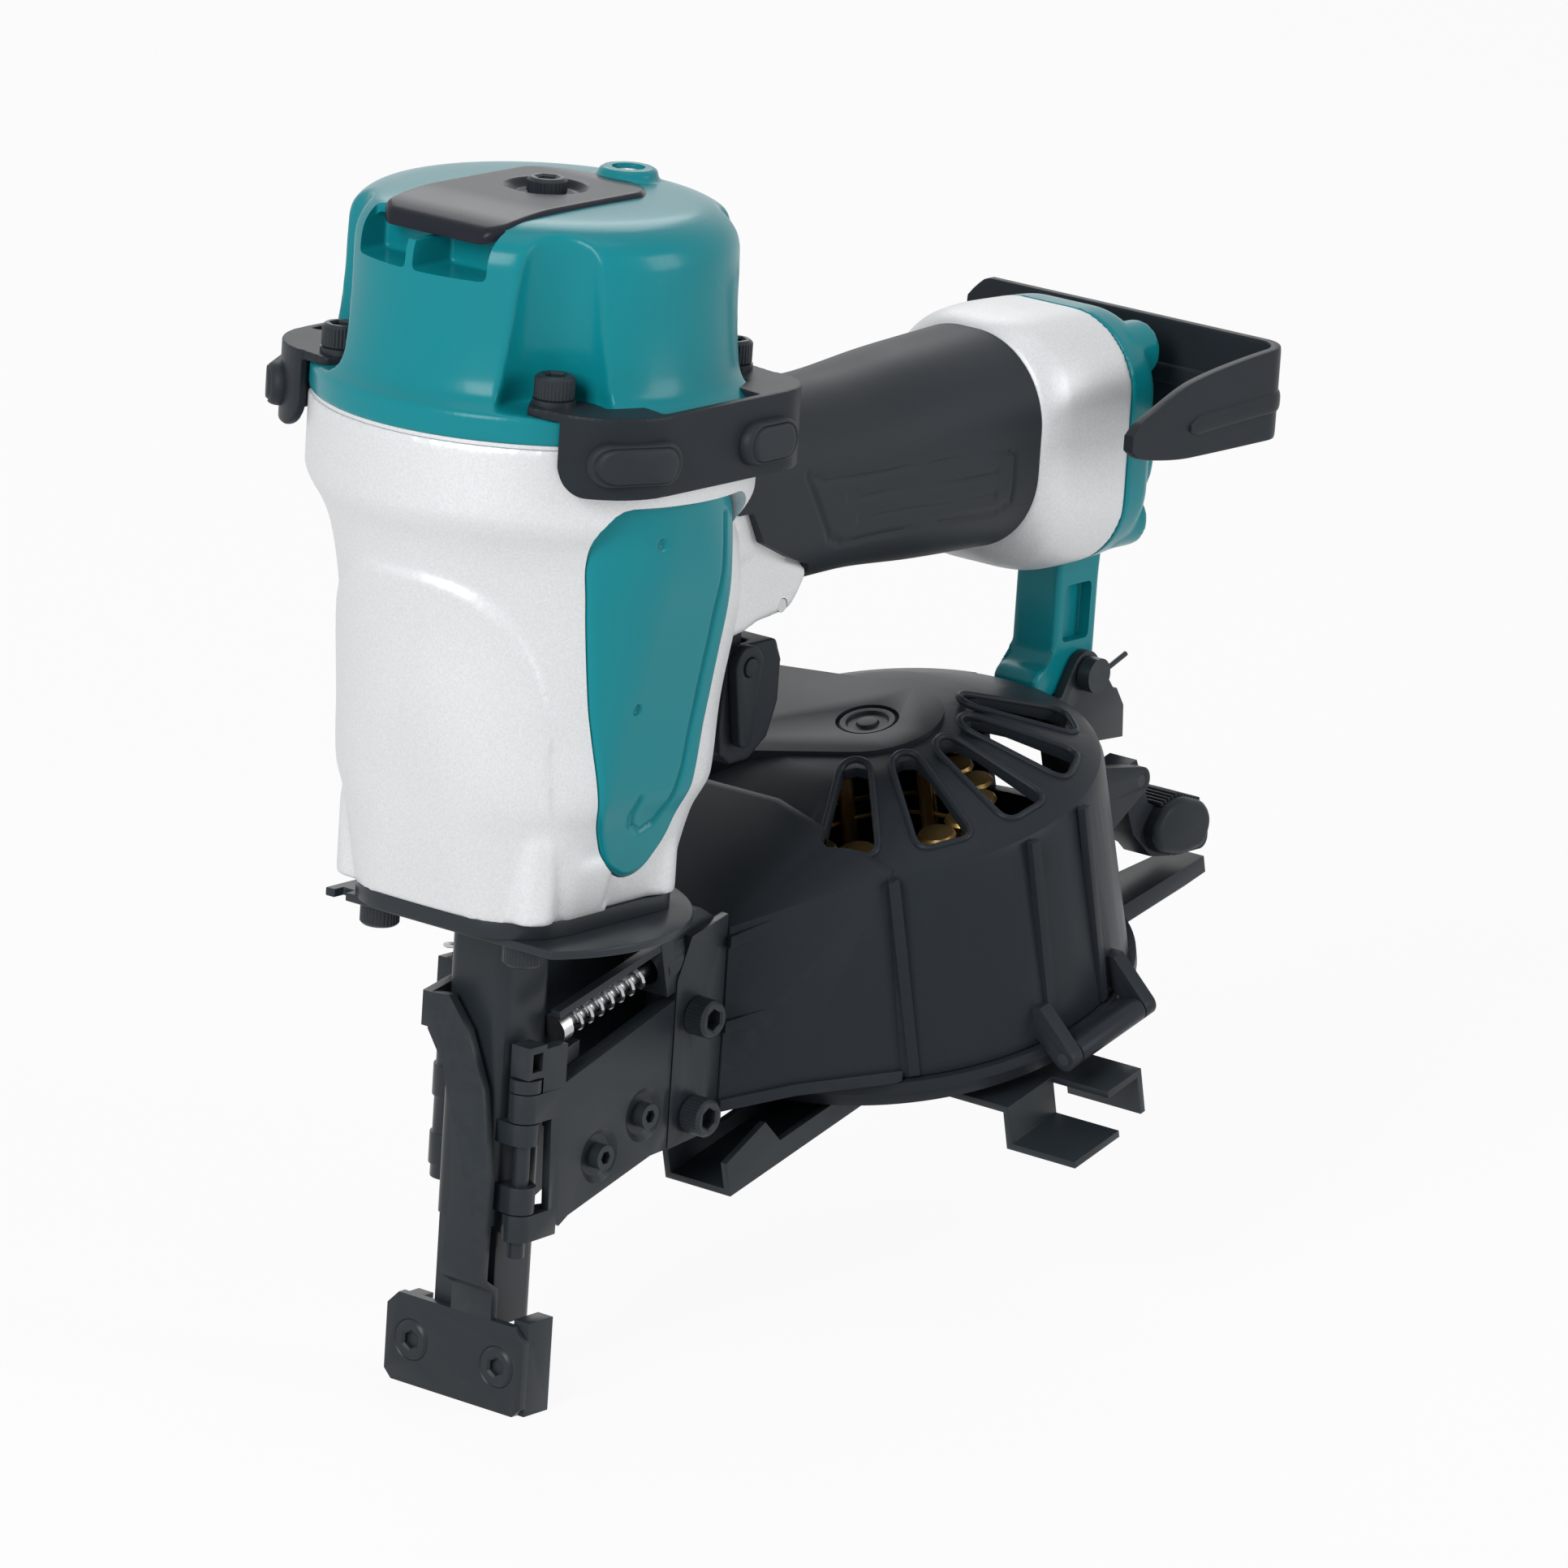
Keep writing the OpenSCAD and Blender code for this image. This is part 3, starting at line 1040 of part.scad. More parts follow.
module shingle_gauge() {
    color(BLACK) on_magazine() difference() {
        union() {
            // Channel with an open front
            slab(-82, 14, -gauge_y, 0, gauge_h, gauge_h + gauge_t);
            for (y = [-gauge_y, -gauge_t]) side_plate([[-82, gauge_h], [14, gauge_h], [14, gauge_h + 5],
                [-64, gauge_h + 5], [-68, gauge_h + 11.4], [-82, gauge_h + 8]], y, y + gauge_t);
            // Two feet, one turned outwards and one turned down
            slab(-24, -8, -49, -gauge_y + 0.1, gauge_h, gauge_h + gauge_t);
            slab(-24, -8, -49, -49 + gauge_t, gauge_h - 9, gauge_h + 0.1);
            slab(-24, -8, -66, -49 + 0.1, gauge_h - 9, gauge_h - 9 + gauge_t);
            slab(-8.1, 4, -64, -gauge_y + 0.1, gauge_h, gauge_h + gauge_t);
            slab(4 - gauge_t, 4, -64, -44, gauge_h - 9, gauge_h + 0.1);
        }
        // Slot for the clamp screw
        translate([0, -gauge_y / 2, gauge_h - 1]) {
            slab(4 - gauge_travel, 4, -2.8, 2.8, 0, 5);
            for (x = [4 - gauge_travel, 4]) translate([x, 0, 0]) cylinder(r = 2.8, h = 5);
        }
    }
}
module gauge_screw() {
    color(BLACK) on_magazine() translate([4, -gauge_y / 2, gauge_h - 0.35]) rotate([180, 0, 0]) cap_screw(5, 6.2, 3);
}

// ---------------------------------------------------------------- nodes

housing();
grip();
side_insert_left();
side_insert_right();
head_gasket();
head_cap();
exhaust_cover();
exhaust_cover_screw();
cap_bolts();
cap_washers();
guard_left();
guard_right();
guard_pads();
cylinder_sleeve();
piston();
piston_ring();
driver_blade();
bumper();
head_valve();
head_valve_spring();
end_cap();
end_cap_bolts();
air_inlet();
hanging_hook();
hook_screw();
trigger_valve();
valve_plunger();
valve_pin();
trigger();
trigger_shaft();
mode_lever();
nose_plate();
wing_plate();
nose();
nose_bolts();
contact_arm();
contact_link();
contact_spring();
contact_foot();
foot_screws();
depth_dial();
feed_cylinder();
feed_piston();
feed_spring();
feed_pawl();
feeder_door();
door_screws();
door_pin();
magazine_plate();
magazine_bolts();
magazine_cover();
magazine_tray();
magazine_pins();
nail_platform();
nail_coil();
latch_lever();
rear_bracket();
mount_pin();
shingle_gauge();
gauge_screw();
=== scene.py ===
"""Looks of a pneumatic coil nailer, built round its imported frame.

Lengths are in millimetres until solid() turns them into metres. +Z runs up the drive axis,
+X back along the handle, and -Y is the operator's left side.
"""

import json
import logging
import math
from dataclasses import dataclass, field
from enum import Enum

import bmesh
import bpy
import numpy as np
from mathutils import Matrix, Vector

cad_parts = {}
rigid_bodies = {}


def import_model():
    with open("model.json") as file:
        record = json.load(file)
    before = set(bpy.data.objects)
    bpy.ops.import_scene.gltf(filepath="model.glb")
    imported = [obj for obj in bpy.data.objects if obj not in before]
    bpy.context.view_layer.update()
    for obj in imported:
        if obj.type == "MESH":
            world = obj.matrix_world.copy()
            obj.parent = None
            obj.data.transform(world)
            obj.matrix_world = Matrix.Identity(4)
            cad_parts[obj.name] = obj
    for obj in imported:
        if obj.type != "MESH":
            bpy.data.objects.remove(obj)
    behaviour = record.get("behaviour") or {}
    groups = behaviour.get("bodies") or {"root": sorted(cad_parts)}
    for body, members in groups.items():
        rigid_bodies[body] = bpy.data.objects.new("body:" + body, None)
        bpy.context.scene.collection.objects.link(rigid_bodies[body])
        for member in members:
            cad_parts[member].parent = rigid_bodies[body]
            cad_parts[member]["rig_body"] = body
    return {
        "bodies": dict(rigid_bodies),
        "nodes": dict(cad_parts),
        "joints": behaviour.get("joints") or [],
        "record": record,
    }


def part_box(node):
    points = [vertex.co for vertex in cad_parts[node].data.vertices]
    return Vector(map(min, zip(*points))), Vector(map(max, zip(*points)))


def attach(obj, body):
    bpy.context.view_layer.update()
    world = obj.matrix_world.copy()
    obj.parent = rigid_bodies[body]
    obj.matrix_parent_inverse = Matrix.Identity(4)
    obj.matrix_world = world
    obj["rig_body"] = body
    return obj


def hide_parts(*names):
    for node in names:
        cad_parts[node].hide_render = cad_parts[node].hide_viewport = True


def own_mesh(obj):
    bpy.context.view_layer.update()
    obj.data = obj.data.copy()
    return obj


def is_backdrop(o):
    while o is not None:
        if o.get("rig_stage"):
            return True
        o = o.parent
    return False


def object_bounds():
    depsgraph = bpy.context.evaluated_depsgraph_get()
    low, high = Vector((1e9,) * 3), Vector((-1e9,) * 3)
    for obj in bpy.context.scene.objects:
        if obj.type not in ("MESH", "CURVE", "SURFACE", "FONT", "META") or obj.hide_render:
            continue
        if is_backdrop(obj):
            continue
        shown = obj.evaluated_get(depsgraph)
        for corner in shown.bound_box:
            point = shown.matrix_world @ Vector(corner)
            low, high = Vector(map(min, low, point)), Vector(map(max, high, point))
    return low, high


LOG = logging.getLogger("nailer")
MM = 0.001
TAU = 2 * math.pi
Array = np.ndarray
Skin = tuple[Array, list]
Colour = tuple[float, float, float]
FRAME: dict = {}
UP = (0, 0, 1)
BACK = (1, 0, 0)
TUBE_GUIDE = (0.31, 0.17, 0.93)
SURFACE = "worn surface"
# Faces of a CAD node that meet at less than FLAT are joined, and edges sharper than CREASE are bevelled
FLAT = math.radians(0.8)
CREASE = math.radians(32)


# ---------------------------------------------------------------- curves and surfaces

def step(low: float, high: float, x: Array) -> Array:
    """Gives the cubic step: 0 below low, 1 above high, smooth between."""
    t = np.clip((x - low) / (high - low), 0, 1)
    return t * t * (3 - 2 * t)


def soft_min(a: Array, b: Array, radius: float) -> Array:
    """Gives the lesser of a and b, rounded over radius where they are equal."""
    h = np.clip(0.5 + 0.5 * (b - a) / radius, 0, 1)
    return b * (1 - h) + a * h - radius * h * (1 - h)


def unit(vectors: Array) -> Array:
    """Gives the vectors at length 1."""
    return vectors / np.maximum(np.linalg.norm(vectors, axis=-1, keepdims=True), 1e-9)


def along(x: Array, table: list) -> Array:
    """Reads a monotone cubic curve through a table.

    Args:
        x: Where to read it, clipped to the table's ends.
        table: Rows of the parameter followed by the values there.
    Returns:
        The values, one more axis than x. The slope at a knot is the weighted harmonic mean of
        the slopes beside it, so the curve never overshoots.
    """
    rows = np.asarray(table, float)
    knots, values = rows[:, 0], rows[:, 1:]
    gap = np.diff(knots)[:, None]
    rise = np.diff(values, axis=0) / gap
    slope = np.zeros_like(values)
    slope[0], slope[-1] = rise[0], rise[-1]
    same = rise[:-1] * rise[1:] > 0
    w_before, w_after = 2 * gap[1:] + gap[:-1], gap[1:] + 2 * gap[:-1]
    below = np.where(same, w_before * rise[1:] + w_after * rise[:-1], 1)
    slope[1:-1] = np.where(same, (w_before + w_after) * rise[:-1] * rise[1:] / below, 0)
    x = np.clip(np.asarray(x, float), knots[0], knots[-1])
    i = np.clip(np.searchsorted(knots, x, "right") - 1, 0, len(knots) - 2)
    h = gap[i]
    s = (x[..., None] - knots[i][..., None]) / h
    return ((2 * s**3 - 3 * s**2 + 1) * values[i] + (s**3 - 2 * s**2 + s) * h * slope[i]
            + (3 * s**2 - 2 * s**3) * values[i + 1] + (s**3 - s**2) * h * slope[i + 1])


def section(front: Array, rear: Array, side: Array, r_front: Array, r_rear: Array,
            arc: int = 28, edge: int = 10) -> Array:
    """Gives rounded rectangles, one for each row of the arguments.

    Args:
        front: Reach towards -X.
        rear: Reach towards +X.
        side: Reach towards both sides.
        r_front: Radius of the two front corners.
        r_rear: Radius of the two rear corners.
        arc: Points on each quarter circle.
        edge: Points on each straight edge.
    Returns:
        Points of shape (rows, 4 * (arc + edge), 2), anticlockwise.
    """
    front, rear, side, r_front, r_rear = (np.atleast_1d(v)[:, None] for v in (front, rear, side, r_front, r_rear))
    turn = np.linspace(0, TAU / 4, arc)[None]
    corners = [(rear - r_rear, side - r_rear, r_rear), (r_front - front, side - r_front, r_front),
               (r_front - front, r_front - side, r_front), (rear - r_rear, r_rear - side, r_rear)]
    arcs = [np.stack([cx + r * np.cos(turn + k * TAU / 4), cy + r * np.sin(turn + k * TAU / 4)], -1)
            for k, (cx, cy, r) in enumerate(corners)]
    t = (np.arange(1, edge + 1) / (edge + 1))[None, :, None]
    parts = []
    for k in range(4):
        ahead = arcs[(k + 1) % 4][:, :1]
        parts += [arcs[k], arcs[k][:, -1:] * (1 - t) + ahead * t]
    return np.concatenate(parts, axis=1)


def polar(radius: Array, angle: Array, height: Array) -> Array:
    """Gives the points (r cos a, r sin a, z), with the three broadcast together."""
    return np.stack(np.broadcast_arrays(radius * np.cos(angle), radius * np.sin(angle), height), -1)


def skin(points: Array, capped: bool = True) -> Skin:
    """Joins a grid of points, whose last column meets the first, into faces.

    Args:
        points: Shape (rows, columns, 3).
        capped: Whether the first and last rows are closed with a fan to their middle.
    Returns:
        Vertices and faces.
    """
    rows, cols = points.shape[:2]
    left = np.arange(rows * cols).reshape(rows, cols)
    right = np.roll(left, -1, axis=1)
    quads = np.stack([left[:-1], right[:-1], right[1:], left[1:]], -1).reshape(-1, 4).tolist()
    verts = points.reshape(-1, 3)
    if not capped:
        return verts, quads
    verts = np.concatenate([verts, points[:1].mean(1), points[-1:].mean(1)])
    n = rows * cols
    low = np.stack([right[0], left[0], np.full(cols, n)], -1).tolist()
    high = np.stack([left[-1], right[-1], np.full(cols, n + 1)], -1).tolist()
    return verts, quads + low + high


def placed(shape: Skin, at: tuple, axis: tuple = UP) -> Skin:
    """Moves a shape so that its origin is at a point and its +Z lies along axis.

    Args:
        shape: Vertices and faces.
        at: Where the origin goes.
        axis: Where +Z points. Its +X is square to Y, or to X where the axis is near Y.
    Returns:
        Vertices and faces.
    """
    w = unit(np.array(axis, float))
    u = unit(np.cross([0, 1, 0] if abs(w[1]) < 0.9 else [1, 0, 0], w))
    return shape[0] @ np.stack([u, np.cross(w, u), w]) + np.array(at, float), shape[1]


def lathe(profile: list, turns: int = 96, at: tuple = (0, 0, 0), axis: tuple = UP) -> Skin:
    """Turns a profile about an axis: the point at angle a is (r cos a, r sin a, z).

    Args:
        profile: Rows of radius and height along the axis.
        turns: Points round the axis.
        at: Where height 0 is.
        axis: Direction of the axis.
    Returns:
        Vertices and faces of a closed solid.
    """
    r, z = np.array(profile, float)[:, :, None].transpose(1, 0, 2)
    a = np.linspace(0, TAU, turns, endpoint=False)
    return placed(skin(polar(r, a, z)), at, axis)


def rounded_outline(corners: list, radius: float, steps: int = 6) -> Array:
    """Rounds an outline: each corner becomes a quadratic curve that starts and ends radius away.

    Args:
        corners: Points of the outline.
        radius: Distance from a corner to where its curve starts, at most 0.45 of an edge.
        steps: Points on each curve.
    Returns:
        Points of the rounded outline, shape (corners * steps, 2).
    """
    p = np.array(corners, float)
    before, after = np.roll(p, 1, axis=0) - p, np.roll(p, -1, axis=0) - p
    len_b, len_a = (np.linalg.norm(v, axis=1, keepdims=True) for v in (before, after))
    start = p + before / len_b * np.minimum(radius, 0.45 * len_b)
    end = p + after / len_a * np.minimum(radius, 0.45 * len_a)
    t = np.linspace(0, 1, steps)[None, :, None]
    curve = (1 - t)**2 * start[:, None] + 2 * t * (1 - t) * p[:, None] + t**2 * end[:, None]
    return curve.reshape(-1, 2)


def inset(outline: Array, amount: float) -> Array:
    """Moves each point of an anticlockwise outline inwards by amount, square to its neighbours' chord."""
    chord = np.roll(outline, -1, axis=0) - np.roll(outline, 1, axis=0)
    return outline + unit(np.stack([-chord[:, 1], chord[:, 0]], -1)) * amount


def anticlockwise(outline: Array) -> Array:
    """Gives the outline with its interior on the left, by the sign of its area."""
    x, y = outline.T
    return outline if (x * np.roll(y, -1) - np.roll(x, -1) * y).sum() > 0 else outline[::-1]


def slab(corners: list, low: float, high: float, radius: float, edge: float) -> Skin:
    """Extrudes a rounded outline along Z.

    Args:
        corners: Points of the outline.
        low: Height of the lower face.
        high: Height of the upper face.
        radius: Rounding of the outline's corners.
        edge: Radius of the quarter round at both rims.
    Returns:
        Vertices and faces.
    """
    flat = anticlockwise(rounded_outline(corners, radius))
    a = np.linspace(0, TAU / 4, 5)
    depth = edge * (1 - np.sin(a))
    drop = edge * (1 - np.cos(a))
    levels = [*zip(depth, low + drop), *zip(depth[::-1], high - drop[::-1])]
    return skin(np.array([np.column_stack([inset(flat, d), np.full(len(flat), z)]) for d, z in levels]))


def plate(corners: list, y0: float, y1: float, radius: float, edge: float) -> Skin:
    """Extrudes a rounded XZ outline between two y values, as slab does along Z."""
    verts, faces = slab(corners, y0, y1, radius, edge)
    return verts[:, [0, 2, 1]], faces


def ribbon(path: Array, half: Array, thick: float, crown: float, sides: int) -> Skin:
    """Carries a rounded bar along a path.

    Args:
        path: Centre line, shape (n, 3).
        half: Half height along +Z at each point.
        thick: Half thickness, square to the path and to Z.
        crown: Roundness, from 0 for a square bar to 1 for an oval.
        sides: Points round the bar.
    Returns:
        Vertices and faces. The section is the superellipse |u|^p + |v|^p = 1 with p = 2 / crown.
    """
    ahead = np.gradient(path, axis=0)
    across = unit(np.stack([-ahead[:, 1], ahead[:, 0], np.zeros(len(path))], -1))
    a = np.linspace(0, TAU, sides, endpoint=False)
    u = np.sign(np.cos(a)) * np.abs(np.cos(a))**crown
    v = np.sign(np.sin(a)) * np.abs(np.sin(a))**crown
    return skin(path[:, None] + across[:, None] * (thick * u)[:, None]
                + np.array(UP) * (half[:, None] * v)[..., None])


def tube(path: Array, radius: float, sides: int = 10, closed: bool = False) -> Skin:
    """Carries a circle along a path, in planes square to it.

    Args:
        path: Centre line, shape (n, 3).
        radius: Radius of the circle.
        sides: Points on the circle.
        closed: Whether the path's end meets its start.
    Returns:
        Vertices and faces.
    """
    ahead = np.roll(path, -1, axis=0) - np.roll(path, 1, axis=0) if closed else np.gradient(path, axis=0)
    ahead = unit(ahead)
    u = unit(np.cross(ahead, TUBE_GUIDE))
    v = np.cross(ahead, u)
    a = np.linspace(0, TAU, sides, endpoint=False)[None, :, None]
    rings = path[:, None] + radius * (u[:, None] * np.cos(a) + v[:, None] * np.sin(a))
    if closed:
        rings = np.concatenate([rings, rings[:1]])
    return skin(rings, capped=not closed)


def travelled(points: Array) -> Array:
    """Gives the distance gone along a line at each of its points."""
    return np.concatenate([[0], np.cumsum(np.linalg.norm(np.diff(points, axis=0), axis=1))])


def spread(points: Array, at: Array) -> Array:
    """Gives the points of a line at the given distances along it."""
    return np.stack([np.interp(at, travelled(points), axis) for axis in points.T], -1)


def resample(outline: Array, count: int) -> Array:
    """Spreads points evenly round a closed outline."""
    ring = np.concatenate([outline, outline[:1]])
    return spread(ring, np.linspace(0, travelled(ring)[-1], count, endpoint=False))


def polyline(corners: list, gap: float = 0.3) -> Array:
    """Gives points every gap along a line through the corners."""
    line = np.array(corners, float)
    return spread(line, np.arange(0, travelled(line)[-1], gap))


def nearest(points: Array, path: Array) -> Array:
    """Gives each point's distance to the nearest point of a path."""
    return np.linalg.norm(points[..., None, :] - path, axis=-1).min(-1)


def groove(points: Array, path: Array, deep: float, wide: float) -> Array:
    """Gives the depth at each point of a groove along a path, with a bell-shaped section."""
    return deep * np.exp(-(nearest(points, path) / wide)**2)


def domed(rim: Array, edge: float, middle: tuple, rows: int) -> tuple[Array, Array]:
    """Runs rings in from an outline, over a quarter round and on to a middle point.

    Args:
        rim: The outline.
        edge: Radius of the quarter round.
        middle: Where the rings run to.
        rows: Number of rings after the quarter round.
    Returns:
        The rings, and how far each of them lies below the flat.
    """
    turn = np.linspace(0, TAU / 4, 6)
    round_edge = np.array([inset(rim, edge * (1 - math.cos(a))) for a in turn])
    t = np.linspace(0, 0.985, rows + 1)[1:, None, None]
    drop = np.concatenate([edge * (1 - np.sin(turn)), np.zeros(rows)])
    return np.concatenate([round_edge, round_edge[-1] * (1 - t) + np.array(middle) * t]), drop


def flip(shape: Skin) -> Skin:
    """Mirrors a shape in the plane y = 0."""
    return shape[0] * [1, -1, 1], [f[::-1] for f in shape[1]]


# ---------------------------------------------------------------- finishes

class Graph:
    """Adds nodes to a node tree and joins them by the names of their sockets."""

    def __init__(self, tree: bpy.types.NodeTree) -> None:
        """Keeps the tree that nodes are added to."""
        self.tree = tree

    @classmethod
    def of(cls, owner: bpy.types.ID) -> "Graph":
        """Starts the node tree of a material or a world afresh.

        Args:
            owner: The material or world.
        Returns:
            Its empty graph.
        """
        owner.use_nodes = True
        owner.node_tree.nodes.clear()
        return cls(owner.node_tree)

    def add(self, kind: str, settings: dict | None = None, **inputs: object) -> bpy.types.Node:
        """Adds one node.

        Args:
            kind: The node's type.
            settings: Properties to set on it.
            **inputs: Values or sockets for its inputs, spaces in names as underscores.
        Returns:
            The node.
        """
        node = self.tree.nodes.new(kind)
        for key, value in (settings or {}).items():
            setattr(node, key, value)
        for key, value in inputs.items():
            place = int(key[1:]) if key[0] == "i" and key[1:].isdigit() else key.replace("_", " ")
            if isinstance(value, bpy.types.NodeSocket):
                self.tree.links.new(value, node.inputs[place])
            else:
                node.inputs[place].default_value = value
        return node

    def math(self, kind: str, a: object, b: object = 0.0) -> bpy.types.NodeSocket:
        """Adds a Math node and gives its output."""
        return self.add("ShaderNodeMath", {"operation": kind}, i0=a, i1=b).outputs[0]


def surface_group() -> bpy.types.NodeTree:
    """Builds the group that all finishes use: mottle, fine grain, and wear along edges.

    Returns:
        The group. Colour is mottled by slow noise and turns to the worn colour where the surface
        is sharply convex and another noise is high. Height is fine noise for a Bump node.
    """
    tree = bpy.data.node_groups.new(SURFACE, "ShaderNodeTree")
    face = tree.interface
    for name in ("Colour", "Worn"):
        face.new_socket(name, in_out="INPUT", socket_type="NodeSocketColor")
    for name in ("Grain", "Mottle", "Wear", "Roughness", "Spread", "Fleck"):
        face.new_socket(name, in_out="INPUT", socket_type="NodeSocketFloat")
    face.new_socket("Colour", in_out="OUTPUT", socket_type="NodeSocketColor")
    for name in ("Roughness", "Height"):
        face.new_socket(name, in_out="OUTPUT", socket_type="NodeSocketFloat")
    g = Graph(tree)
    given = g.add("NodeGroupInput").outputs
    where = g.add("ShaderNodeTexCoord").outputs["Object"]
    fine = g.add("ShaderNodeTexNoise", Vector=where, Scale=given["Grain"], Detail=3.0, Roughness=0.6)
    slow = g.add("ShaderNodeTexNoise", Vector=where, Scale=38.0, Detail=4.0, Roughness=0.55)
    patchy = g.add("ShaderNodeTexNoise", Vector=where, Scale=260.0, Detail=5.0, Roughness=0.7)
    convex = g.add("ShaderNodeMapRange", Value=g.add("ShaderNodeNewGeometry").outputs["Pointiness"],
                   From_Min=0.53, From_Max=0.62).outputs[0]
    broken = g.add("ShaderNodeMapRange", Value=patchy.outputs[0], From_Min=0.42, From_Max=0.66).outputs[0]
    wear = g.math("MULTIPLY", g.math("MULTIPLY", convex, broken), given["Wear"])
    tone = g.math("MULTIPLY", g.math("SUBTRACT", slow.outputs[0], 0.5), given["Mottle"])
    fleck = g.math("MULTIPLY", g.math("SUBTRACT", fine.outputs[0], 0.5), given["Fleck"])
    bright = g.math("ADD", 1.0, g.math("ADD", tone, fleck))
    toned = g.add("ShaderNodeVectorMath", {"operation": "SCALE"}, i0=given["Colour"], Scale=bright).outputs[0]
    mixed = g.add("ShaderNodeMix", {"data_type": "RGBA"}, i0=wear, i6=toned, i7=given["Worn"]).outputs[2]
    rough = g.math("ADD", given["Roughness"],
                   g.math("MULTIPLY", g.math("SUBTRACT", slow.outputs[0], 0.5), given["Spread"]))
    g.add("NodeGroupOutput", Colour=mixed, Roughness=rough, Height=fine.outputs[0])
    return tree


@dataclass(frozen=True)
class Finish:
    """How one material looks. Grain and relief are in millimetres."""

    name: str
    slot: str
    colour: Colour
    worn: Colour
    rough: float
    metal: float = 0.0
    coat: float = 0.0
    coat_rough: float = 0.1
    grain: float = 0.5
    relief: float = 0.01
    mottle: float = 0.15
    wear: float = 0.4
    spread: float = 0.12
    fleck: float = 0.0
    specular: float = 0.5

    def build(self, group: bpy.types.NodeTree) -> bpy.types.Material:
        """Makes the material: the shared group feeds a Principled shader.

        Args:
            group: The shared surface group.
        Returns:
            The material.
        """
        material = bpy.data.materials.new(self.name)
        g = Graph.of(material)
        look = g.add("ShaderNodeGroup", {"node_tree": group}, Colour=(*self.colour, 1), Worn=(*self.worn, 1),
                     Grain=1 / (self.grain * MM), Mottle=self.mottle, Wear=self.wear,
                     Roughness=self.rough, Spread=self.spread, Fleck=self.fleck).outputs
        bump = g.add("ShaderNodeBump", Height=look["Height"], Distance=self.relief * MM, Strength=1.0)
        shader = g.add("ShaderNodeBsdfPrincipled", Base_Color=look["Colour"], Roughness=look["Roughness"],
                       Normal=bump.outputs[0], Metallic=self.metal, Coat_Weight=self.coat,
                       Coat_Roughness=self.coat_rough, Specular_IOR_Level=self.specular)
        g.add("ShaderNodeOutputMaterial", Surface=shader.outputs[0])
        return material


class Look(Enum):
    """The finishes of the tool."""

    TEAL = Finish("gloss teal paint", "teal_paint", (0.004, 0.235, 0.275), (0.02, 0.30, 0.34), 0.24,
                  coat=0.06, coat_rough=0.08, grain=1.6, relief=0.010, mottle=0.08, wear=0.12, spread=0.05,
                  specular=0.16)
    SILVER = Finish("sand textured silver", "silver_paint", (0.72, 0.735, 0.75), (0.84, 0.85, 0.86), 0.44,
                    metal=0.25, grain=0.5, relief=0.05, mottle=0.05, wear=0.2, fleck=0.34)
    RUBBER = Finish("charcoal rubber", "rubber", (0.019, 0.024, 0.030), (0.045, 0.05, 0.056), 0.52,
                    grain=0.35, relief=0.02, mottle=0.2, wear=0.15, specular=0.2)
    PLASTIC = Finish("matte black plastic", "black_plastic", (0.020, 0.025, 0.031), (0.05, 0.055, 0.06), 0.40,
                     grain=0.45, relief=0.010, mottle=0.2, wear=0.2, specular=0.11)
    BLACK = Finish("black oxide steel", "black_steel", (0.021, 0.027, 0.033), (0.08, 0.09, 0.10), 0.34,
                   grain=0.8, relief=0.008, mottle=0.15, wear=0.1, specular=0.24)
    BRIGHT = Finish("bright steel", "bright_steel", (0.50, 0.51, 0.52), (0.70, 0.70, 0.70), 0.28,
                    metal=1.0, grain=0.6, relief=0.006, mottle=0.12, wear=0.1)
    COVER = Finish("dark grey cover", "dark_cover", (0.016, 0.019, 0.026), (0.05, 0.055, 0.062), 0.24,
                   grain=0.6, relief=0.006, mottle=0.08, wear=0.1, specular=0.1)
    BRASS = Finish("brass", "brass", (0.50, 0.32, 0.10), (0.70, 0.54, 0.26), 0.32,
                   metal=1.0, grain=0.7, relief=0.008, mottle=0.35, wear=0.2)
    BARE = Finish("bare metal", "bare_metal", (0.52, 0.53, 0.54), (0.70, 0.70, 0.70), 0.34,
                  metal=1.0, grain=0.5, relief=0.008, mottle=0.12, wear=0.1)

    def material(self) -> bpy.types.Material:
        """Gives the finish's material, made the first time it is asked for."""
        found = bpy.data.materials.get(self.value.name)
        return found or self.value.build(bpy.data.node_groups.get(SURFACE) or surface_group())


# ---------------------------------------------------------------- pieces

@dataclass
class Part:
    """One visible piece, gathered from closed shapes and then dressed."""

    name: str
    look: Look
    body: str
    stands_for: tuple[str, ...] = ()
    shapes: list[Skin] = field(default_factory=list)
    cuts: list[list[Skin]] = field(default_factory=list)
    voxel: float = 0.0
    passes: int = 0
    sharp: float = 38.0

    def add(self, *shapes: Skin) -> "Part":
        """Adds closed shapes and gives the part."""
        self.shapes += shapes
        return self

    def cut(self, *shapes: Skin) -> "Part":
        """Adds a group of closed shapes that are cut out of the finished skin, and gives the part."""
        self.cuts.append(list(shapes))
        return self

    def finish(self) -> bpy.types.Object:
        """Joins the shapes into one object and dresses it."""
        return self.dress(solid(self.name, self.shapes))

    def dress(self, obj: bpy.types.Object) -> bpy.types.Object:
        """Fuses, cuts and shades an object, and ties it to its body.

        Args:
            obj: The object, in its place.
        Returns:
            The same object. Where voxel is set its shapes are fused into one skin, which is then
            smoothed, so that they run into each other as in a casting.
        """
        if self.voxel:
            fuse(obj, self.voxel, self.passes)
        for group in self.cuts:
            carve(obj, group)
        obj.data.shade_smooth()
        obj.data.set_sharp_from_angle(angle=math.radians(self.sharp))
        obj.data.materials.clear()
        obj.data.materials.append(self.look.material())
        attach(obj, self.body)
        if self.stands_for:
            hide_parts(*self.stands_for)
        LOG.info("%s: %d faces on %s", obj.name, len(obj.data.polygons), self.body)
        return obj


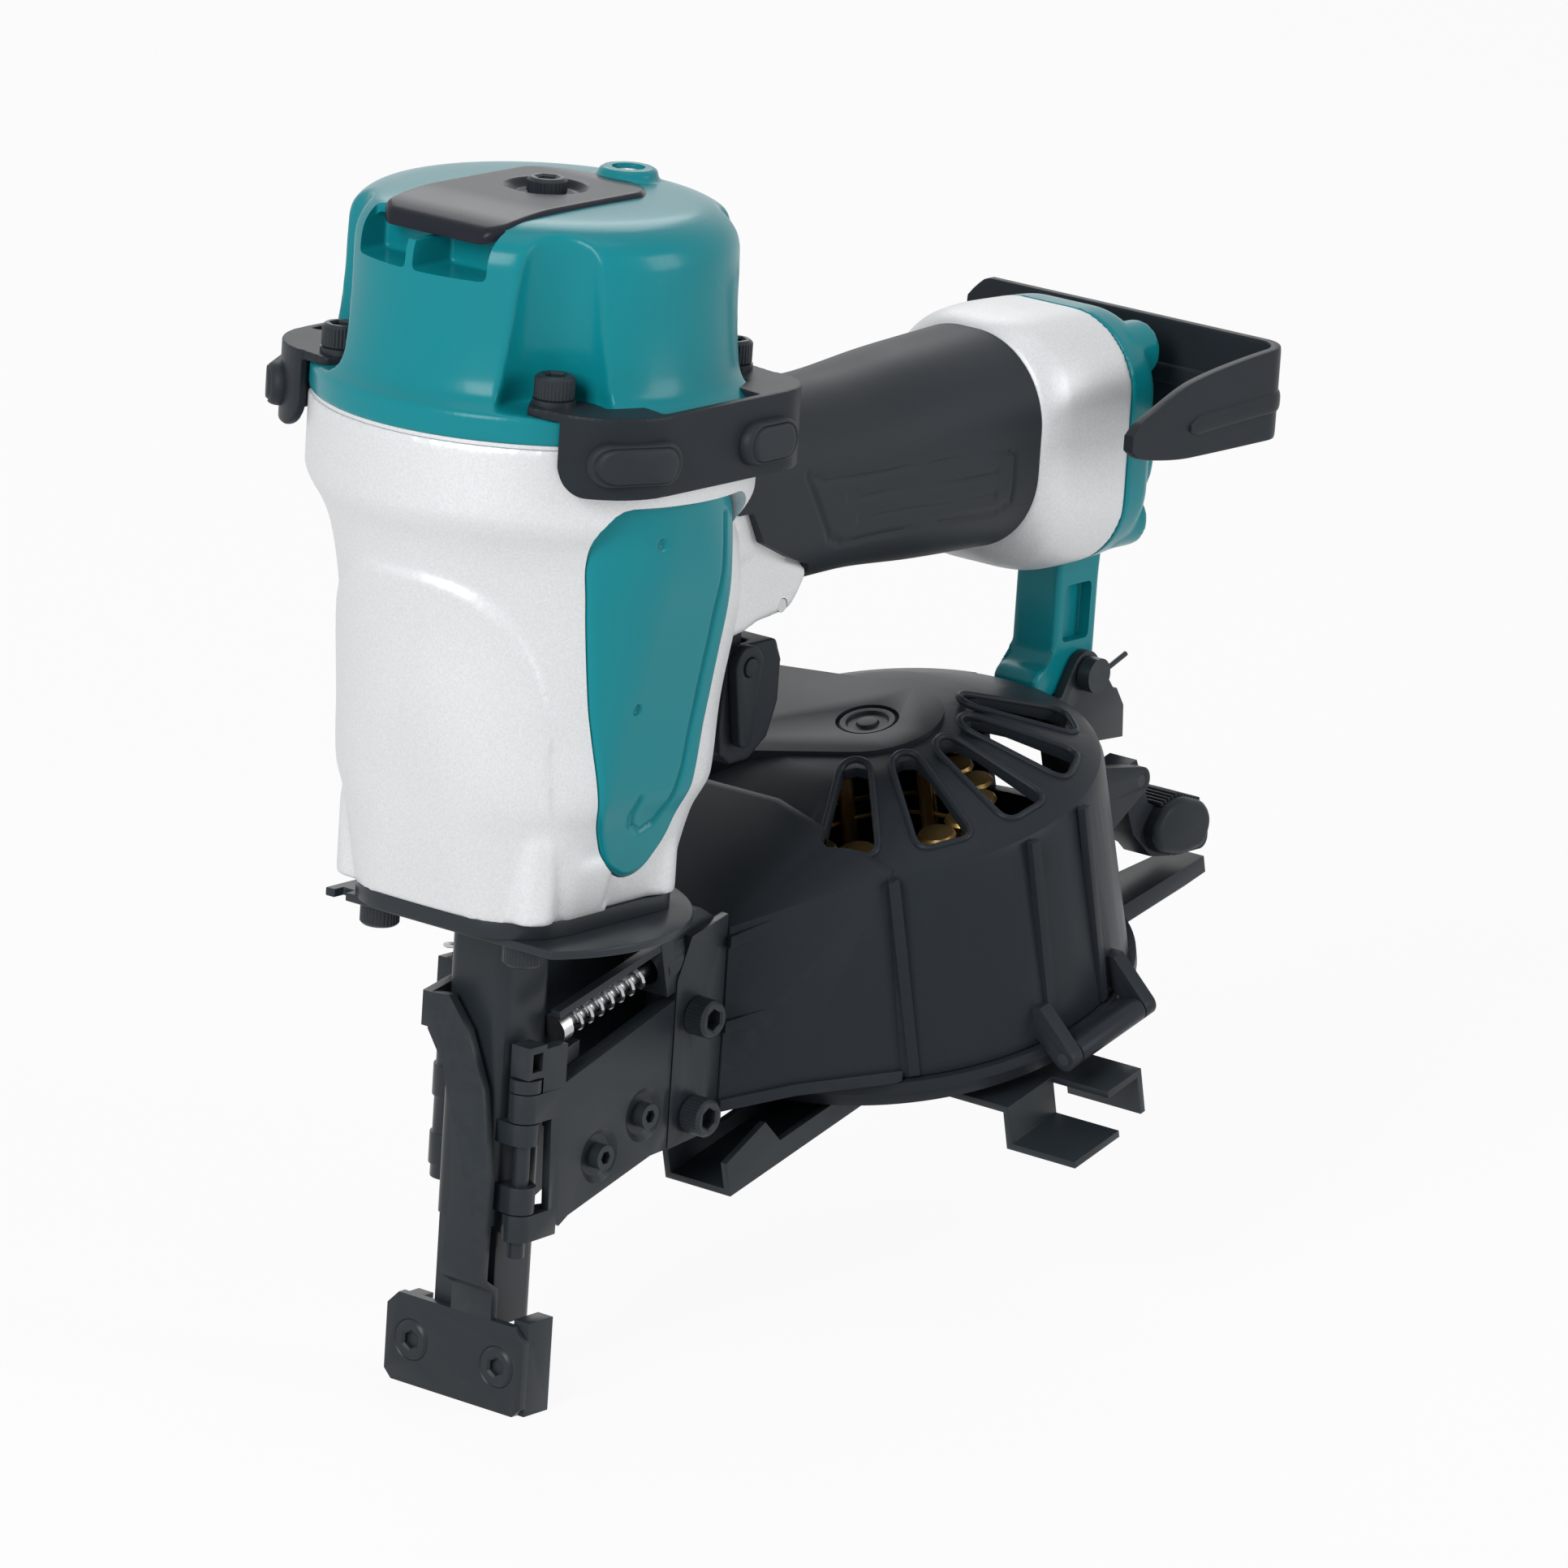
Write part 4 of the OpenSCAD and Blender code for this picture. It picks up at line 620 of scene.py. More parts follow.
def new_object(name: str, data: bpy.types.ID) -> bpy.types.Object:
    """Puts an object into the scene.

    Args:
        name: Its name.
        data: Its mesh, lamp or camera.
    Returns:
        The object, at the origin.
    """
    obj = bpy.data.objects.new(name, data)
    bpy.context.scene.collection.objects.link(obj)
    return obj


def solid(name: str, shapes: list[Skin]) -> bpy.types.Object:
    """Gathers closed shapes into one object, in metres, with its doubles merged and its faces outwards.

    Args:
        name: Name of the object and its mesh.
        shapes: Vertices and faces of each shape, in millimetres.
    Returns:
        The object.
    """
    starts = np.cumsum([0] + [len(points) for points, _ in shapes])
    faces = [[i + start for i in f] for (_, polygons), start in zip(shapes, starts) for f in polygons]
    mesh = bpy.data.meshes.new(name)
    mesh.from_pydata((np.concatenate([points for points, _ in shapes]) * MM).tolist(), [], faces)
    work = bmesh.new()
    work.from_mesh(mesh)
    bmesh.ops.remove_doubles(work, verts=work.verts, dist=1e-7)
    bmesh.ops.dissolve_degenerate(work, edges=work.edges, dist=1e-8)
    bmesh.ops.recalc_face_normals(work, faces=work.faces)
    work.to_mesh(mesh)
    work.free()
    return new_object(name, mesh)


def settle(obj: bpy.types.Object) -> None:
    """Applies an object's modifiers to its mesh.

    Args:
        obj: The object.
    """
    mesh = bpy.data.meshes.new_from_object(obj.evaluated_get(bpy.context.evaluated_depsgraph_get()))
    obj.modifiers.clear()
    obj.data = mesh


def fuse(obj: bpy.types.Object, voxel: float, passes: int) -> None:
    """Turns overlapping closed shapes into one skin and smooths it.

    Args:
        obj: The object.
        voxel: Size of the new faces, in millimetres.
        passes: Rounds of smoothing.
    """
    remesh = obj.modifiers.new("fuse", "REMESH")
    remesh.mode = "VOXEL"
    remesh.voxel_size = voxel * MM
    if passes:
        relax = obj.modifiers.new("relax", "SMOOTH")
        relax.factor = 0.5
        relax.iterations = passes
    settle(obj)


def carve(obj: bpy.types.Object, shapes: list[Skin]) -> None:
    """Cuts closed shapes out of an object.

    Args:
        obj: The object.
        shapes: Shapes that don't touch each other.
    """
    tool = solid("cutter", shapes)
    cut = obj.modifiers.new("cut", "BOOLEAN")
    cut.operation, cut.solver, cut.object = "DIFFERENCE", "EXACT", tool
    settle(obj)
    bpy.data.objects.remove(tool)


def from_cad(node: str, look: Look, width: float = 0.0, voxel: float = 0.0, passes: int = 0,
             extra: tuple[Skin, ...] = ()) -> bpy.types.Object:
    """Makes a softened copy of a CAD node, which then stands for it.

    Args:
        node: The node.
        look: Its finish.
        width: Width of the bevel on its edges, in millimetres.
        voxel: Size of the faces of a fused copy, or 0 for a bevelled one.
        passes: Rounds of smoothing of a fused copy.
        extra: Closed shapes that are fused to it.
    Returns:
        The copy.
    """
    source = FRAME["nodes"][node]
    copy = new_object(f"{node}_skin", source.data.copy())
    work = bmesh.new()
    work.from_mesh(copy.data)
    if extra:
        added = solid("added", list(extra))
        work.from_mesh(added.data)
        bpy.data.objects.remove(added)
    bmesh.ops.remove_doubles(work, verts=work.verts, dist=2e-6)
    bmesh.ops.dissolve_limit(work, angle_limit=FLAT, verts=work.verts, edges=work.edges)
    work.to_mesh(copy.data)
    work.free()
    if width:
        bevel = copy.modifiers.new("soft edges", "BEVEL")
        bevel.width, bevel.segments = width * MM, 3
        bevel.limit_method, bevel.angle_limit = "ANGLE", CREASE
        settle(copy)
    return Part(copy.name, look, source["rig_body"], (node,), voxel=voxel, passes=passes).dress(copy)


@dataclass(frozen=True)
class Screw:
    """A socket head screw with a knurled head. Its axis points out of the head."""

    head_r: float
    head_h: float
    shank_r: float
    shank: float
    socket: float
    knurled: bool = True

    def shape(self, at: tuple, axis: tuple) -> list[Skin]:
        """Gives the head, its socket's hexagon and the shank.

        Args:
            at: Centre of the head's seat.
            axis: Direction out of the head.
        Returns:
            Closed shapes. The head's outside is a knurled lathe, and the socket is the same ring of
            points drawn in to a hexagon: its radius at angle a is s / cos(a mod 60 - 30).
        """
        r, h, bevel = self.head_r, self.head_h, 0.09 * self.head_r
        a = np.linspace(0, TAU, 96, endpoint=False)
        hexagon = self.socket / np.cos((a % (TAU / 6)) - TAU / 12)
        knurl = r - (0.045 * r * (0.5 + 0.5 * np.cos(32 * a)) if self.knurled else 0)
        rows = [(self.shank_r, 0), (r - bevel, 0), (knurl, bevel), (knurl, h - bevel * 1.8),
                (r - bevel, h - bevel * 0.7), (r - 2 * bevel, h),
                (hexagon + 0.12 * r, h), (hexagon, h - 0.1 * r), (hexagon, h * 0.45), (hexagon * 0.2, h * 0.4)]
        head = skin(np.array([polar(q, a, z) for q, z in rows]))
        return [placed(head, at, axis), lathe([(self.shank_r, -self.shank), (self.shank_r, 0.1)], 32, at, axis)]


# ---------------------------------------------------------------- places

def box(node: str) -> Array:
    """Gives a node's lowest and highest corners, in millimetres."""
    return np.array(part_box(node)) / MM


def joint(name: str) -> dict:
    """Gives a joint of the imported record."""
    return next(j for j in FRAME["record"]["behaviour"]["joints"] if j["name"] == name)


def vertices(mesh: bpy.types.Mesh) -> Array:
    """Reads a mesh's vertices.

    Args:
        mesh: The mesh.
    Returns:
        Their places, shape (n, 3), in metres.
    """
    flat = np.empty(len(mesh.vertices) * 3, np.float32)
    mesh.vertices.foreach_get("co", flat)
    return flat.reshape(-1, 3)


def solids_of(node: str) -> list[Array]:
    """Finds the separate solids in a node.

    Each corner takes the least number among the corners it shares an edge with, until none changes.

    Args:
        node: The node.
    Returns:
        The lowest and highest corners of each solid, in millimetres.
    """
    mesh = FRAME["nodes"][node].data
    points = vertices(mesh) / MM
    same = np.unique(points.round(3), axis=0, return_inverse=True)[1].ravel()
    pairs = np.empty(len(mesh.edges) * 2, np.int32)
    mesh.edges.foreach_get("vertices", pairs)
    a, b = same[pairs.reshape(-1, 2)].T
    label, before = np.arange(same.max() + 1), None
    while before is None or (label != before).any():
        before = label.copy()
        least = np.minimum(label[a], label[b])
        np.minimum.at(label, a, least)
        np.minimum.at(label, b, least)
    label = label[same]
    return [np.array([points[label == k].min(0), points[label == k].max(0)]) for k in np.unique(label)]


def loft_z(heights: Array, table: tuple) -> Array:
    """Lofts sections square to Z from rows of height, front, rear, side and the two corner radii."""
    flat = section(*along(heights, table).T, arc=60, edge=16)
    return np.concatenate([flat, np.broadcast_to(heights[:, None, None], flat.shape[:2] + (1,))], -1)


def loft_x(places: Array, table: tuple) -> Array:
    """Lofts rounded sections square to X.

    Args:
        places: Where the sections are.
        table: Rows of x, middle height, half width, half height and corner radius.
    Returns:
        Points of shape (places, columns, 3).
    """
    middle, half_w, half_h, r = along(places, table).T
    flat = section(half_w, half_w, half_h, r, r)
    x = np.broadcast_to(places[:, None], flat.shape[:2])
    return np.stack([x, flat[..., 0], flat[..., 1] + middle[:, None]], -1)


# ---------------------------------------------------------------- housing

@dataclass
class Housing:
    """Cast housing: barrel, handle root, cheeks beside the trigger valve, and the shell behind the grip."""

    # Height above the foot, reach to the front, rear and side, and the two corner radii
    barrel: tuple = (
        (0, 26.5, 27, 26, 16.5, 9), (18, 31, 30.5, 29.5, 23, 11), (26, 32.4, 34.3, 32.4, 25, 13.5),
        (40, 35, 34.8, 33.8, 30, 15), (62, 37.5, 38.3, 37.3, 36, 20), (76, 40.5, 40.8, 40.3, 40, 32),
        (81.5, 42.8, 42.8, 42.8, 42.8, 42.8), (86, 45.6, 45.6, 45.6, 45.6, 45.6),
        (88.5, 46.5, 46.5, 46.5, 46.5, 46.5), (103.5, 46.5, 46.5, 46.5, 46.5, 46.5))
    # x, middle height, half width, half height and corner radius, as in every loft along X
    root: tuple = (
        (20, 185.5, 17, 23, 14), (40, 185.8, 16.8, 22.4, 14), (52, 186, 15.6, 20, 13),
        (60, 186, 15.2, 18.8, 12.6), (93, 186.5, 16.6, 18.8, 14.6), (147, 187, 19.2, 21.8, 17))
    shell: tuple = (
        (147, 187, 21.9, 24.5, 19.6), (150, 186.4, 23.3, 26.4, 19.4), (154, 185.6, 24.4, 27.8, 19),
        (163, 184.8, 24.8, 28.8, 18.5), (176, 184.5, 24.5, 28.6, 18))
    cheek: tuple = (
        (36, 159.5), (55.8, 158.9), (61.7, 161.1), (71.5, 161.9), (74.5, 165), (77.6, 169.9),
        (75.4, 171.5), (67.7, 174.2), (57.4, 178.9), (53.4, 186), (36, 189.5))
    cheek_half: float = 14.6
    # The barrel without the flare at its top
    wall_top: tuple = (92, 42, 42, 42, 42, 42)
    # The raised pad's half width, the height from which it narrows, and how far it then runs up
    pad: tuple = (28.5, 145, 40)
    pad_proud: float = 1.3
    lug_r: float = 5.1
    lug_h: float = 25.0
    # The lugs' middles, as shares of the bolts'
    lug_out: tuple = (1.155, 1.19)
    valve_r: float = 6.6
    pin_r: float = 1.7

    def __post_init__(self) -> None:
        """Takes the foot's height from the frame."""
        self.base = box("housing")[0, 2]

    def side_at(self, x: Array, z: Array) -> Array:
        """Gives how far the barrel's wall, without its flare, reaches to the side.

        Args:
            x: Places along the handle.
            z: Heights.
        Returns:
            The reach: the side less the corner's radius, plus the height of the corner's arc.
        """
        front, rear, side, r_front, r_rear = np.moveaxis(
            along(z - self.base, (*self.barrel[:6], self.wall_top)), -1, 0)
        ahead = np.maximum((r_front - front) - x, 0)
        behind = np.maximum(x - (rear - r_rear), 0)
        return np.where(ahead > 0, side - r_front + np.sqrt(np.maximum(r_front**2 - ahead**2, 0)),
                        side - r_rear + np.sqrt(np.maximum(r_rear**2 - behind**2, 0)))

    def barrel_skin(self) -> Skin:
        """Lofts the barrel and raises the pad on its front.

        Returns:
            Vertices and faces. The pad of half width w, which narrows from height c over d, is where
            1 - (|y| / w)^3 - ((z - c) / d)^3 is above 0, with a soft edge.
        """
        rings = loft_z(np.linspace(0, self.barrel[-1][0], 210), self.barrel)
        x, y = rings[..., 0], rings[..., 1]
        half, narrows, run = self.pad
        high = np.maximum(rings[..., 2] + self.base - narrows, 0) / run
        inside = 1 - (np.abs(y) / half)**3 - high**3
        raised = self.pad_proud * step(0, 0.07, inside) * (x < 0)
        rings[..., :2] *= (1 + raised / np.hypot(x, y))[..., None]
        return skin(rings + [0, 0, self.base])

    def lugs(self) -> list[Skin]:
        """Gives the lugs over the bolts in the foot.

        Returns:
            Four round posts with rounded tops, half sunk in the barrel.
        """
        r, h = self.lug_r, self.lug_h
        profile = [(r, 0.2), (r, h - 8), (0.93 * r, h - 5), (0.76 * r, h - 2.4), (0.45 * r, h - 0.6), (0, h)]
        return [lathe(profile, 48, (*(b.mean(0)[:2] * self.lug_out), self.base)) for b in solids_of("nose_bolts")]

    def build(self, pockets: list[Skin]) -> None:
        """Builds the housing and cuts the valve's bore and the pin's holes.

        Args:
            pockets: What is cut out for the inserts.
        """
        (start, *_), (middle, *_), (end, *_) = self.root[0], self.shell[0], self.shell[-1]
        valve, pin = box("trigger_valve").mean(0), box("valve_pin").mean(0)
        part = Part("housing_casting", Look.SILVER, "tool", ("housing",), voxel=0.82, passes=4)
        part.add(self.barrel_skin(), skin(loft_x(np.linspace(start, middle, 130), self.root)),
                 skin(loft_x(np.linspace(middle, end, 60), self.shell)),
                 plate(list(self.cheek), -self.cheek_half, self.cheek_half, 2.5, 1.2), *self.lugs())
        part.cut(*pockets, lathe([(self.valve_r, -6), (self.valve_r, 10)], 64, (valve[0], 0, 158)))
        for side in (-1, 1):
            hole = (pin[0], side * (self.cheek_half - 1.2), pin[2])
            part.cut(lathe([(self.pin_r, 0), (self.pin_r, 4)], 32, hole, (0, side, 0)))
        part.finish()


@dataclass
class SideInsert:
    """Coloured plate let into the barrel's side. Its face stands proud of the casting."""

    housing: Housing
    outline: tuple = (
        (-24.4, 197.6), (-20.6, 202.4), (15.4, 202), (18.8, 199), (20.6, 175), (20.3, 157), (19, 136),
        (15.8, 125), (10.5, 118.8), (4.5, 117.8), (-2.5, 121.6), (-9.5, 134), (-15.7, 158), (-20.3, 183))
    middle: tuple = (1.5, 164)
    proud: float = 1.0
    rim: float = 1.2
    groove: tuple = (
        (14.0, 197), (15.3, 185), (15.8, 170), (15.4, 155), (14.3, 142), (12.6, 134), (9.6, 129.6), (5.6, 128.4),
        (2.4, 130.0), (1.0, 133.2), (2.0, 136.6))
    groove_deep: float = 0.8
    groove_half: float = 0.6
    dimples: tuple = ((-6.4, 193.5), (-3.8, 156.8), (13.1, 120.9))
    dimple_deep: float = 0.9
    pocket_gap: float = 0.4

    def flat(self, grow: float = 0.0, count: int = 300) -> Array:
        """Gives the outline in XZ with rounded corners, grown outwards."""
        return inset(resample(anticlockwise(rounded_outline(list(self.outline), 2.6)), count), -grow)

    def skin(self, side: int) -> Skin:
        """Gives the plate for one side.

        Args:
            side: -1 for the left, 1 for the right.
        Returns:
            Vertices and faces. Rings run in from the outline to the middle, and the face's height
            above the casting is a quarter round at the rim, less the groove and round dimples.
        """
        rim = self.flat()
        rings, drop = domed(rim, self.rim, self.middle, 83)
        high = self.proud - np.broadcast_to(drop[:, None], rings.shape[:2])
        high[6:] -= groove(rings[6:], polyline(list(self.groove)), self.groove_deep, self.groove_half)
        high[6:] -= self.dimple_deep * step(1.5, 0.8, nearest(rings[6:], np.array(self.dimples)))
        rings = np.concatenate([rim[None], rings])
        high = np.concatenate([np.full((1, len(rim)), -3.0), high])
        y = self.housing.side_at(rings[..., 0], rings[..., 1]) + high
        return skin(np.stack([rings[..., 0], side * y, rings[..., 1]], -1))

    def pocket(self, side: int) -> Skin:
        """Gives the cutter for the pocket on one side (-1 or 1), a little wider than the plate."""
        x, z = self.flat(self.pocket_gap, 120).T
        return skin(np.array([np.column_stack([x, np.full(len(x), y * side), z]) for y in (24.0, 60.0)]))

    def build(self) -> None:
        """Builds both plates."""
        for side, name in ((-1, "left"), (1, "right")):
            Part(f"insert_plate_{name}", Look.TEAL, "tool", (f"side_insert_{name}",), sharp=50).add(
                self.skin(side)).finish()


# ---------------------------------------------------------------- head

@dataclass
class HeadCap:
    """Head casting with four flutes that clear the bolts, an exhaust recess and a rear boss."""

    # Radius and height of the outside, from the joint to the top
    profile: tuple = (
        (46.2, 215.8), (46.5, 216.2), (46.5, 220.9), (46.2, 221.4), (45.2, 222.2), (43.6, 223.6), (42.4, 226),
        (41.8, 229.5), (41.0, 238), (40.5, 250.5), (39.9, 253), (38.6, 255), (36.6, 256.6), (34, 257.7),
        (30, 258.5), (22, 258.9), (0.05, 259.2))
    flute_at: float = 32.0
    flute_low: float = 12.3
    flute_high: float = 9.9
    flute_soft: float = 1.3
    # Lowest and highest y, lowest and highest z, and how deep in x
    recess: tuple = ((-16.2, 0.6, 247.2, 255.2, -28.5), (2.6, 18.2, 247.2, 255.2, -28.5),
                     (-16.2, 18.2, 253.2, 262, -31.5), (-14.5, 14.5, 256.0, 262, -19.0))
    dish_r: float = 9.3
    dish_z: float = 256.2
    boss: tuple = (25.5, -0.5)
    boss_r: float = 6.3
    boss_z: float = 252.0
    boss_h: float = 9.0
    plug: Screw = Screw(3.3, 1.9, 1.5, 2, 1.3, False)
    plug_hole: float = 3.5
    plug_z: float = 258.3

    def outside(self) -> Skin:
        """Turns the profile, and lets the flutes in.

        Returns:
            Vertices and faces. On the ray at angle a, a flute of radius f at distance d starts where
            r = d cos(a - a0) - sqrt(f^2 - d^2 sin^2(a - a0)). The lesser of that and the profile is taken.
        """
        p = np.array(self.profile)
        far = travelled(p)
        rows = along(np.linspace(0, far[-1], 260), np.column_stack([far, p]))
        a = np.linspace(0, TAU, 360, endpoint=False)[None]
        r, z = rows[:, :1], rows[:, 1:]
        d = math.sqrt(2) * self.flute_at
        off = (a % (TAU / 4)) - TAU / 8
        low, high = self.profile[3][1], self.profile[9][1]
        f = self.flute_low + (self.flute_high - self.flute_low) * (z - low) / (high - low)
        f = np.maximum(f, 0.1) * step(low - 0.4, low + 0.9, z)
        under = f**2 - (d * np.sin(off))**2
        start = np.where(under > 0, d * np.cos(off) - np.sqrt(np.maximum(under, 0)), 99.0)
        r = np.minimum(r, soft_min(np.broadcast_to(r, start.shape), start, self.flute_soft))
        return skin(polar(r, a, z))

    def build(self) -> None:
        """Builds the casting, its recess and seat, and the plug in the boss."""
        r, h, middle = self.boss_r, self.boss_h, self.boss
        part = Part("head_casting", Look.TEAL, "tool", ("head_cap",), voxel=0.6, passes=3)
        part.add(self.outside(),
                 lathe([(r, 0), (r, h - 0.9), (r - 0.3, h - 0.3), (r - 0.9, h)], 64, (*middle, self.boss_z)))
        for low, high, z0, z1, inner in self.recess:
            part.cut(placed(slab([(-z0, low), (-z0, high), (-z1, high), (-z1, low)], -48, inner, 1.4, 0.8),
                            (0, 0, 0), BACK))
        part.cut(lathe([(self.dish_r, 0), (self.dish_r, 6)], 64, (0, 0, self.dish_z)))
        part.cut(lathe([(self.plug_hole, 0), (self.plug_hole, 5)], 48, (*middle, self.plug_z + 0.1)))
        part.finish()
        Part("head_boss_plug", Look.BRIGHT, "tool").add(
            *self.plug.shape((*middle, self.plug_z), UP)).finish()


@dataclass
class ExhaustCover:
    """Dark plate on the head with a lip turned down over the exhaust and a dish round its screw."""

    # x and the height of the top below the head's top
    top: tuple = ((-36, 4.2), (-33.5, 2.7), (-28, 1.2), (-16, 0.1), (12, 0.0), (23, 1.0))
    thick: float = 2.0
    lip: float = 0.5
    dish_r: float = 9.2
    dish: float = 1.7
    rim: float = 1.3

    def flat(self) -> Array:
        """Gives the plate's outline.

        Returns:
            Points evenly round it: an oval rear, and a front that narrows to a straight edge.
        """
        a = np.radians(np.arange(-60, 61, 6))
        rear = np.column_stack([22.5 * np.cos(a), 18.9 * np.sin(a)]).tolist()
        corners = [(-35, -13), (-31.5, -16.4), *rear, (-31.5, 16.4), (-35, 13)]
        return resample(anticlockwise(rounded_outline(corners, 1.6)), 260)

    def build(self) -> None:
        """Builds the plate from rings that run under it, up its rim and in to its middle."""
        rim = self.flat()
        rings, drop = domed(rim, self.rim, (0, 0), 49)
        rings = np.concatenate([inset(rim, 2.4)[None], rim[None], rings])
        roof = box("exhaust_cover")[1, 2] - along(rings[..., 0], self.top)[..., 0]
        r = np.hypot(rings[..., 0], rings[..., 1])
        z = roof - self.dish * step(self.dish_r, self.dish_r - 3, r)
        z[2:] -= drop[:, None]
        z[0] = roof[0] - self.thick
        z[1] = roof[1] - self.thick - self.lip * step(-30.5, -33.5, rim[:, 0])
        Part("exhaust_cover_plate", Look.COVER, "tool", ("exhaust_cover",), sharp=50).add(
            skin(np.concatenate([rings, z[..., None]], -1))).finish()


@dataclass
class Guards:
    """Bent guards beside the head with their rubber pads."""

    bend_r: float = 17.6
    bend_at: tuple = (-16.4, -31.9)
    # Angles on the bend of the front end and of the first pad's middle, in degrees
    front_turn: float = 189.0
    pad_turn: float = 244.0
    rear_bend_r: float = 12.0
    rear_tail: float = 1.1
    flat_at: tuple = (15.0, -49.5)
    pad_h: float = 4.6
    pad_half: tuple = (10.6, 8.6)
    proud: float = 2.9
    # Place of the fine groove round a pad as a share of its outline, its width and its depth
    ring: tuple = (0.8, 0.04, 0.5)
    corner_r: float = 6.5
    lip: float = 2.0

    def round_corners(self, obj: bpy.types.Object, side: int) -> None:
        """Rounds the two lower corners of a guard by lifting its lower edge near its ends.

        At a distance d from an end, less than the radius r, the edge rises by r - sqrt(r^2 - (r - d)^2),
        and what is above it rises by a share of that, down to 0 under the lip.

        Args:
            obj: The guard.
            side: -1 for the left guard, 1 for the right one.
        """
        points = vertices(obj.data).astype(float) / MM
        x, y, z = points.T
        low, high = z.min(), z.max() - self.lip
        y = -side * y
        bend_x, bend_y = self.bend_at
        rear_r, tail, r = self.rear_bend_r, self.rear_tail, self.corner_r
        front = (np.arctan2(y - bend_y, x - bend_x) % TAU - math.radians(self.front_turn)) * self.bend_r
        rear_x, rear_y = x.max() - rear_r, rear_r + self.flat_at[1]
        rear = np.where(y > rear_y, rear_y + tail - y, tail - np.arctan2(y - rear_y, x - rear_x) * rear_r)
        gap = np.where(x < bend_x, front, np.where(x > rear_x, rear, r))
        lift = r - np.sqrt(r**2 - (r - np.clip(gap, 0, r))**2)
        points[:, 2] += np.clip((high - z) / (high - low), 0, 1) * lift
        obj.data.vertices.foreach_set("co", (points * MM).ravel())
        obj.data.update()

    def pill(self, half: float, radius: float) -> Skin:
        """Gives a rounded pad in its own frame: x along, y up and z out of the guard.

        Args:
            half: Half its length.
            radius: Radius of the bend that it lies on, or 0 on the flat.
        Returns:
            Vertices and faces. Its outline is a stadium and its height is proud * (1 - q^8)^0.5 at the
            share q of the outline, less a fine groove.
        """
        a = np.linspace(0, TAU, 120, endpoint=False)
        outline = np.column_stack([self.pad_h * np.cos(a) + np.sign(np.cos(a)) * (half - self.pad_h),
                                   self.pad_h * np.sin(a)])
        q = np.concatenate([np.sin(np.linspace(TAU / 4, 0.12, 26)), [0.06, 0.02]])[:, None]
        place, wide, deep = self.ring
        high = self.proud * np.sqrt(np.maximum(1 - q**8, 0)) - deep * np.exp(-((q - place) / wide)**2)
        x, y = np.moveaxis(outline[None] * np.concatenate([q[:1], q])[..., None], -1, 0)
        out = np.broadcast_to(np.concatenate([[[-0.5]], high]), x.shape)
        if radius:
            x, out = (radius + out) * np.sin(x / radius), (radius + out) * np.cos(x / radius) - radius
        return skin(np.stack([x, y, out], -1))

    def build(self) -> None:
        """Builds the guards and both pairs of pads."""
        for name, side in (("left", -1), ("right", 1)):
            self.round_corners(from_cad(f"guard_{name}", Look.PLASTIC, voxel=0.45, passes=4), side)
        height = box("guard_pads")[:, 2].mean()
        a = math.radians(self.pad_turn)
        on_bend = (self.bend_at[0] + self.bend_r * math.cos(a), self.bend_at[1] + self.bend_r * math.sin(a))
        part = Part("guard_pad_set", Look.RUBBER, "tool", ("guard_pads",), sharp=60)
        for at, out, half, radius in ((on_bend, (math.cos(a), math.sin(a), 0), self.pad_half[0], self.bend_r),
                                      (self.flat_at, (0, -1, 0), self.pad_half[1], 0.0)):
            points, faces = self.pill(half, radius)
            pad = points @ np.array([np.cross(UP, out), UP, out]) + [*at, height], faces
            part.add(pad, flip(pad))
        part.finish()


# ---------------------------------------------------------------- handle

@dataclass
class Grip:
    """Rubber sleeve on the handle, trimmed to the barrel and to the trigger's cheeks."""

    rings: tuple = (
        (30, 185.5, 15, 19, 13), (60, 186, 17.6, 21.2, 15), (93, 186.5, 19, 21.2, 17),
        (122, 186.8, 20.4, 23, 18), (147, 187, 21.6, 24.2, 19.5))
    front: float = 48.0
    barrel_gap: float = 52.0
    panels: tuple = (
        ((70, 192.5), (77, 190.2), (136, 189.5), (139, 188), (139, 177.5), (135, 175.8), (84, 175.5),
         (79, 177.5), (70, 192.5)), ((84, 185.6), (133, 184.4)), ((88, 180.6), (133, 179.6)))
    line_deep: float = 0.5
    line_half: float = 0.5
    # Half width of the top and bottom, which have no lines
    bare_half: float = 8.0

    def build(self, housing: Housing) -> None:
        """Builds the sleeve with its panel lines on both sides.

        Args:
            housing: What it is trimmed to.
        """
        rings = loft_x(np.linspace(self.front, self.rings[-1][0], 330), self.rings)
        lines = np.concatenate([polyline(list(panel)) for panel in self.panels])
        deep = groove(rings[..., [0, 2]], lines, self.line_deep, self.line_half)
        rings[..., 1] -= np.sign(rings[..., 1]) * deep * (np.abs(rings[..., 1]) > self.bare_half)
        trim = [(30, 150), (80, 150), *[(x + 0.4, z + 0.3) for x, z in housing.cheek[5:10]], (30, 186.3)]
        part = Part("grip_sleeve", Look.RUBBER, "tool", ("grip",)).add(skin(rings))
        part.cut(lathe([(self.barrel_gap, 130), (self.barrel_gap, 230)], 160))
        part.cut(plate(trim, -40, 40, 0.5, 0.2)).finish()


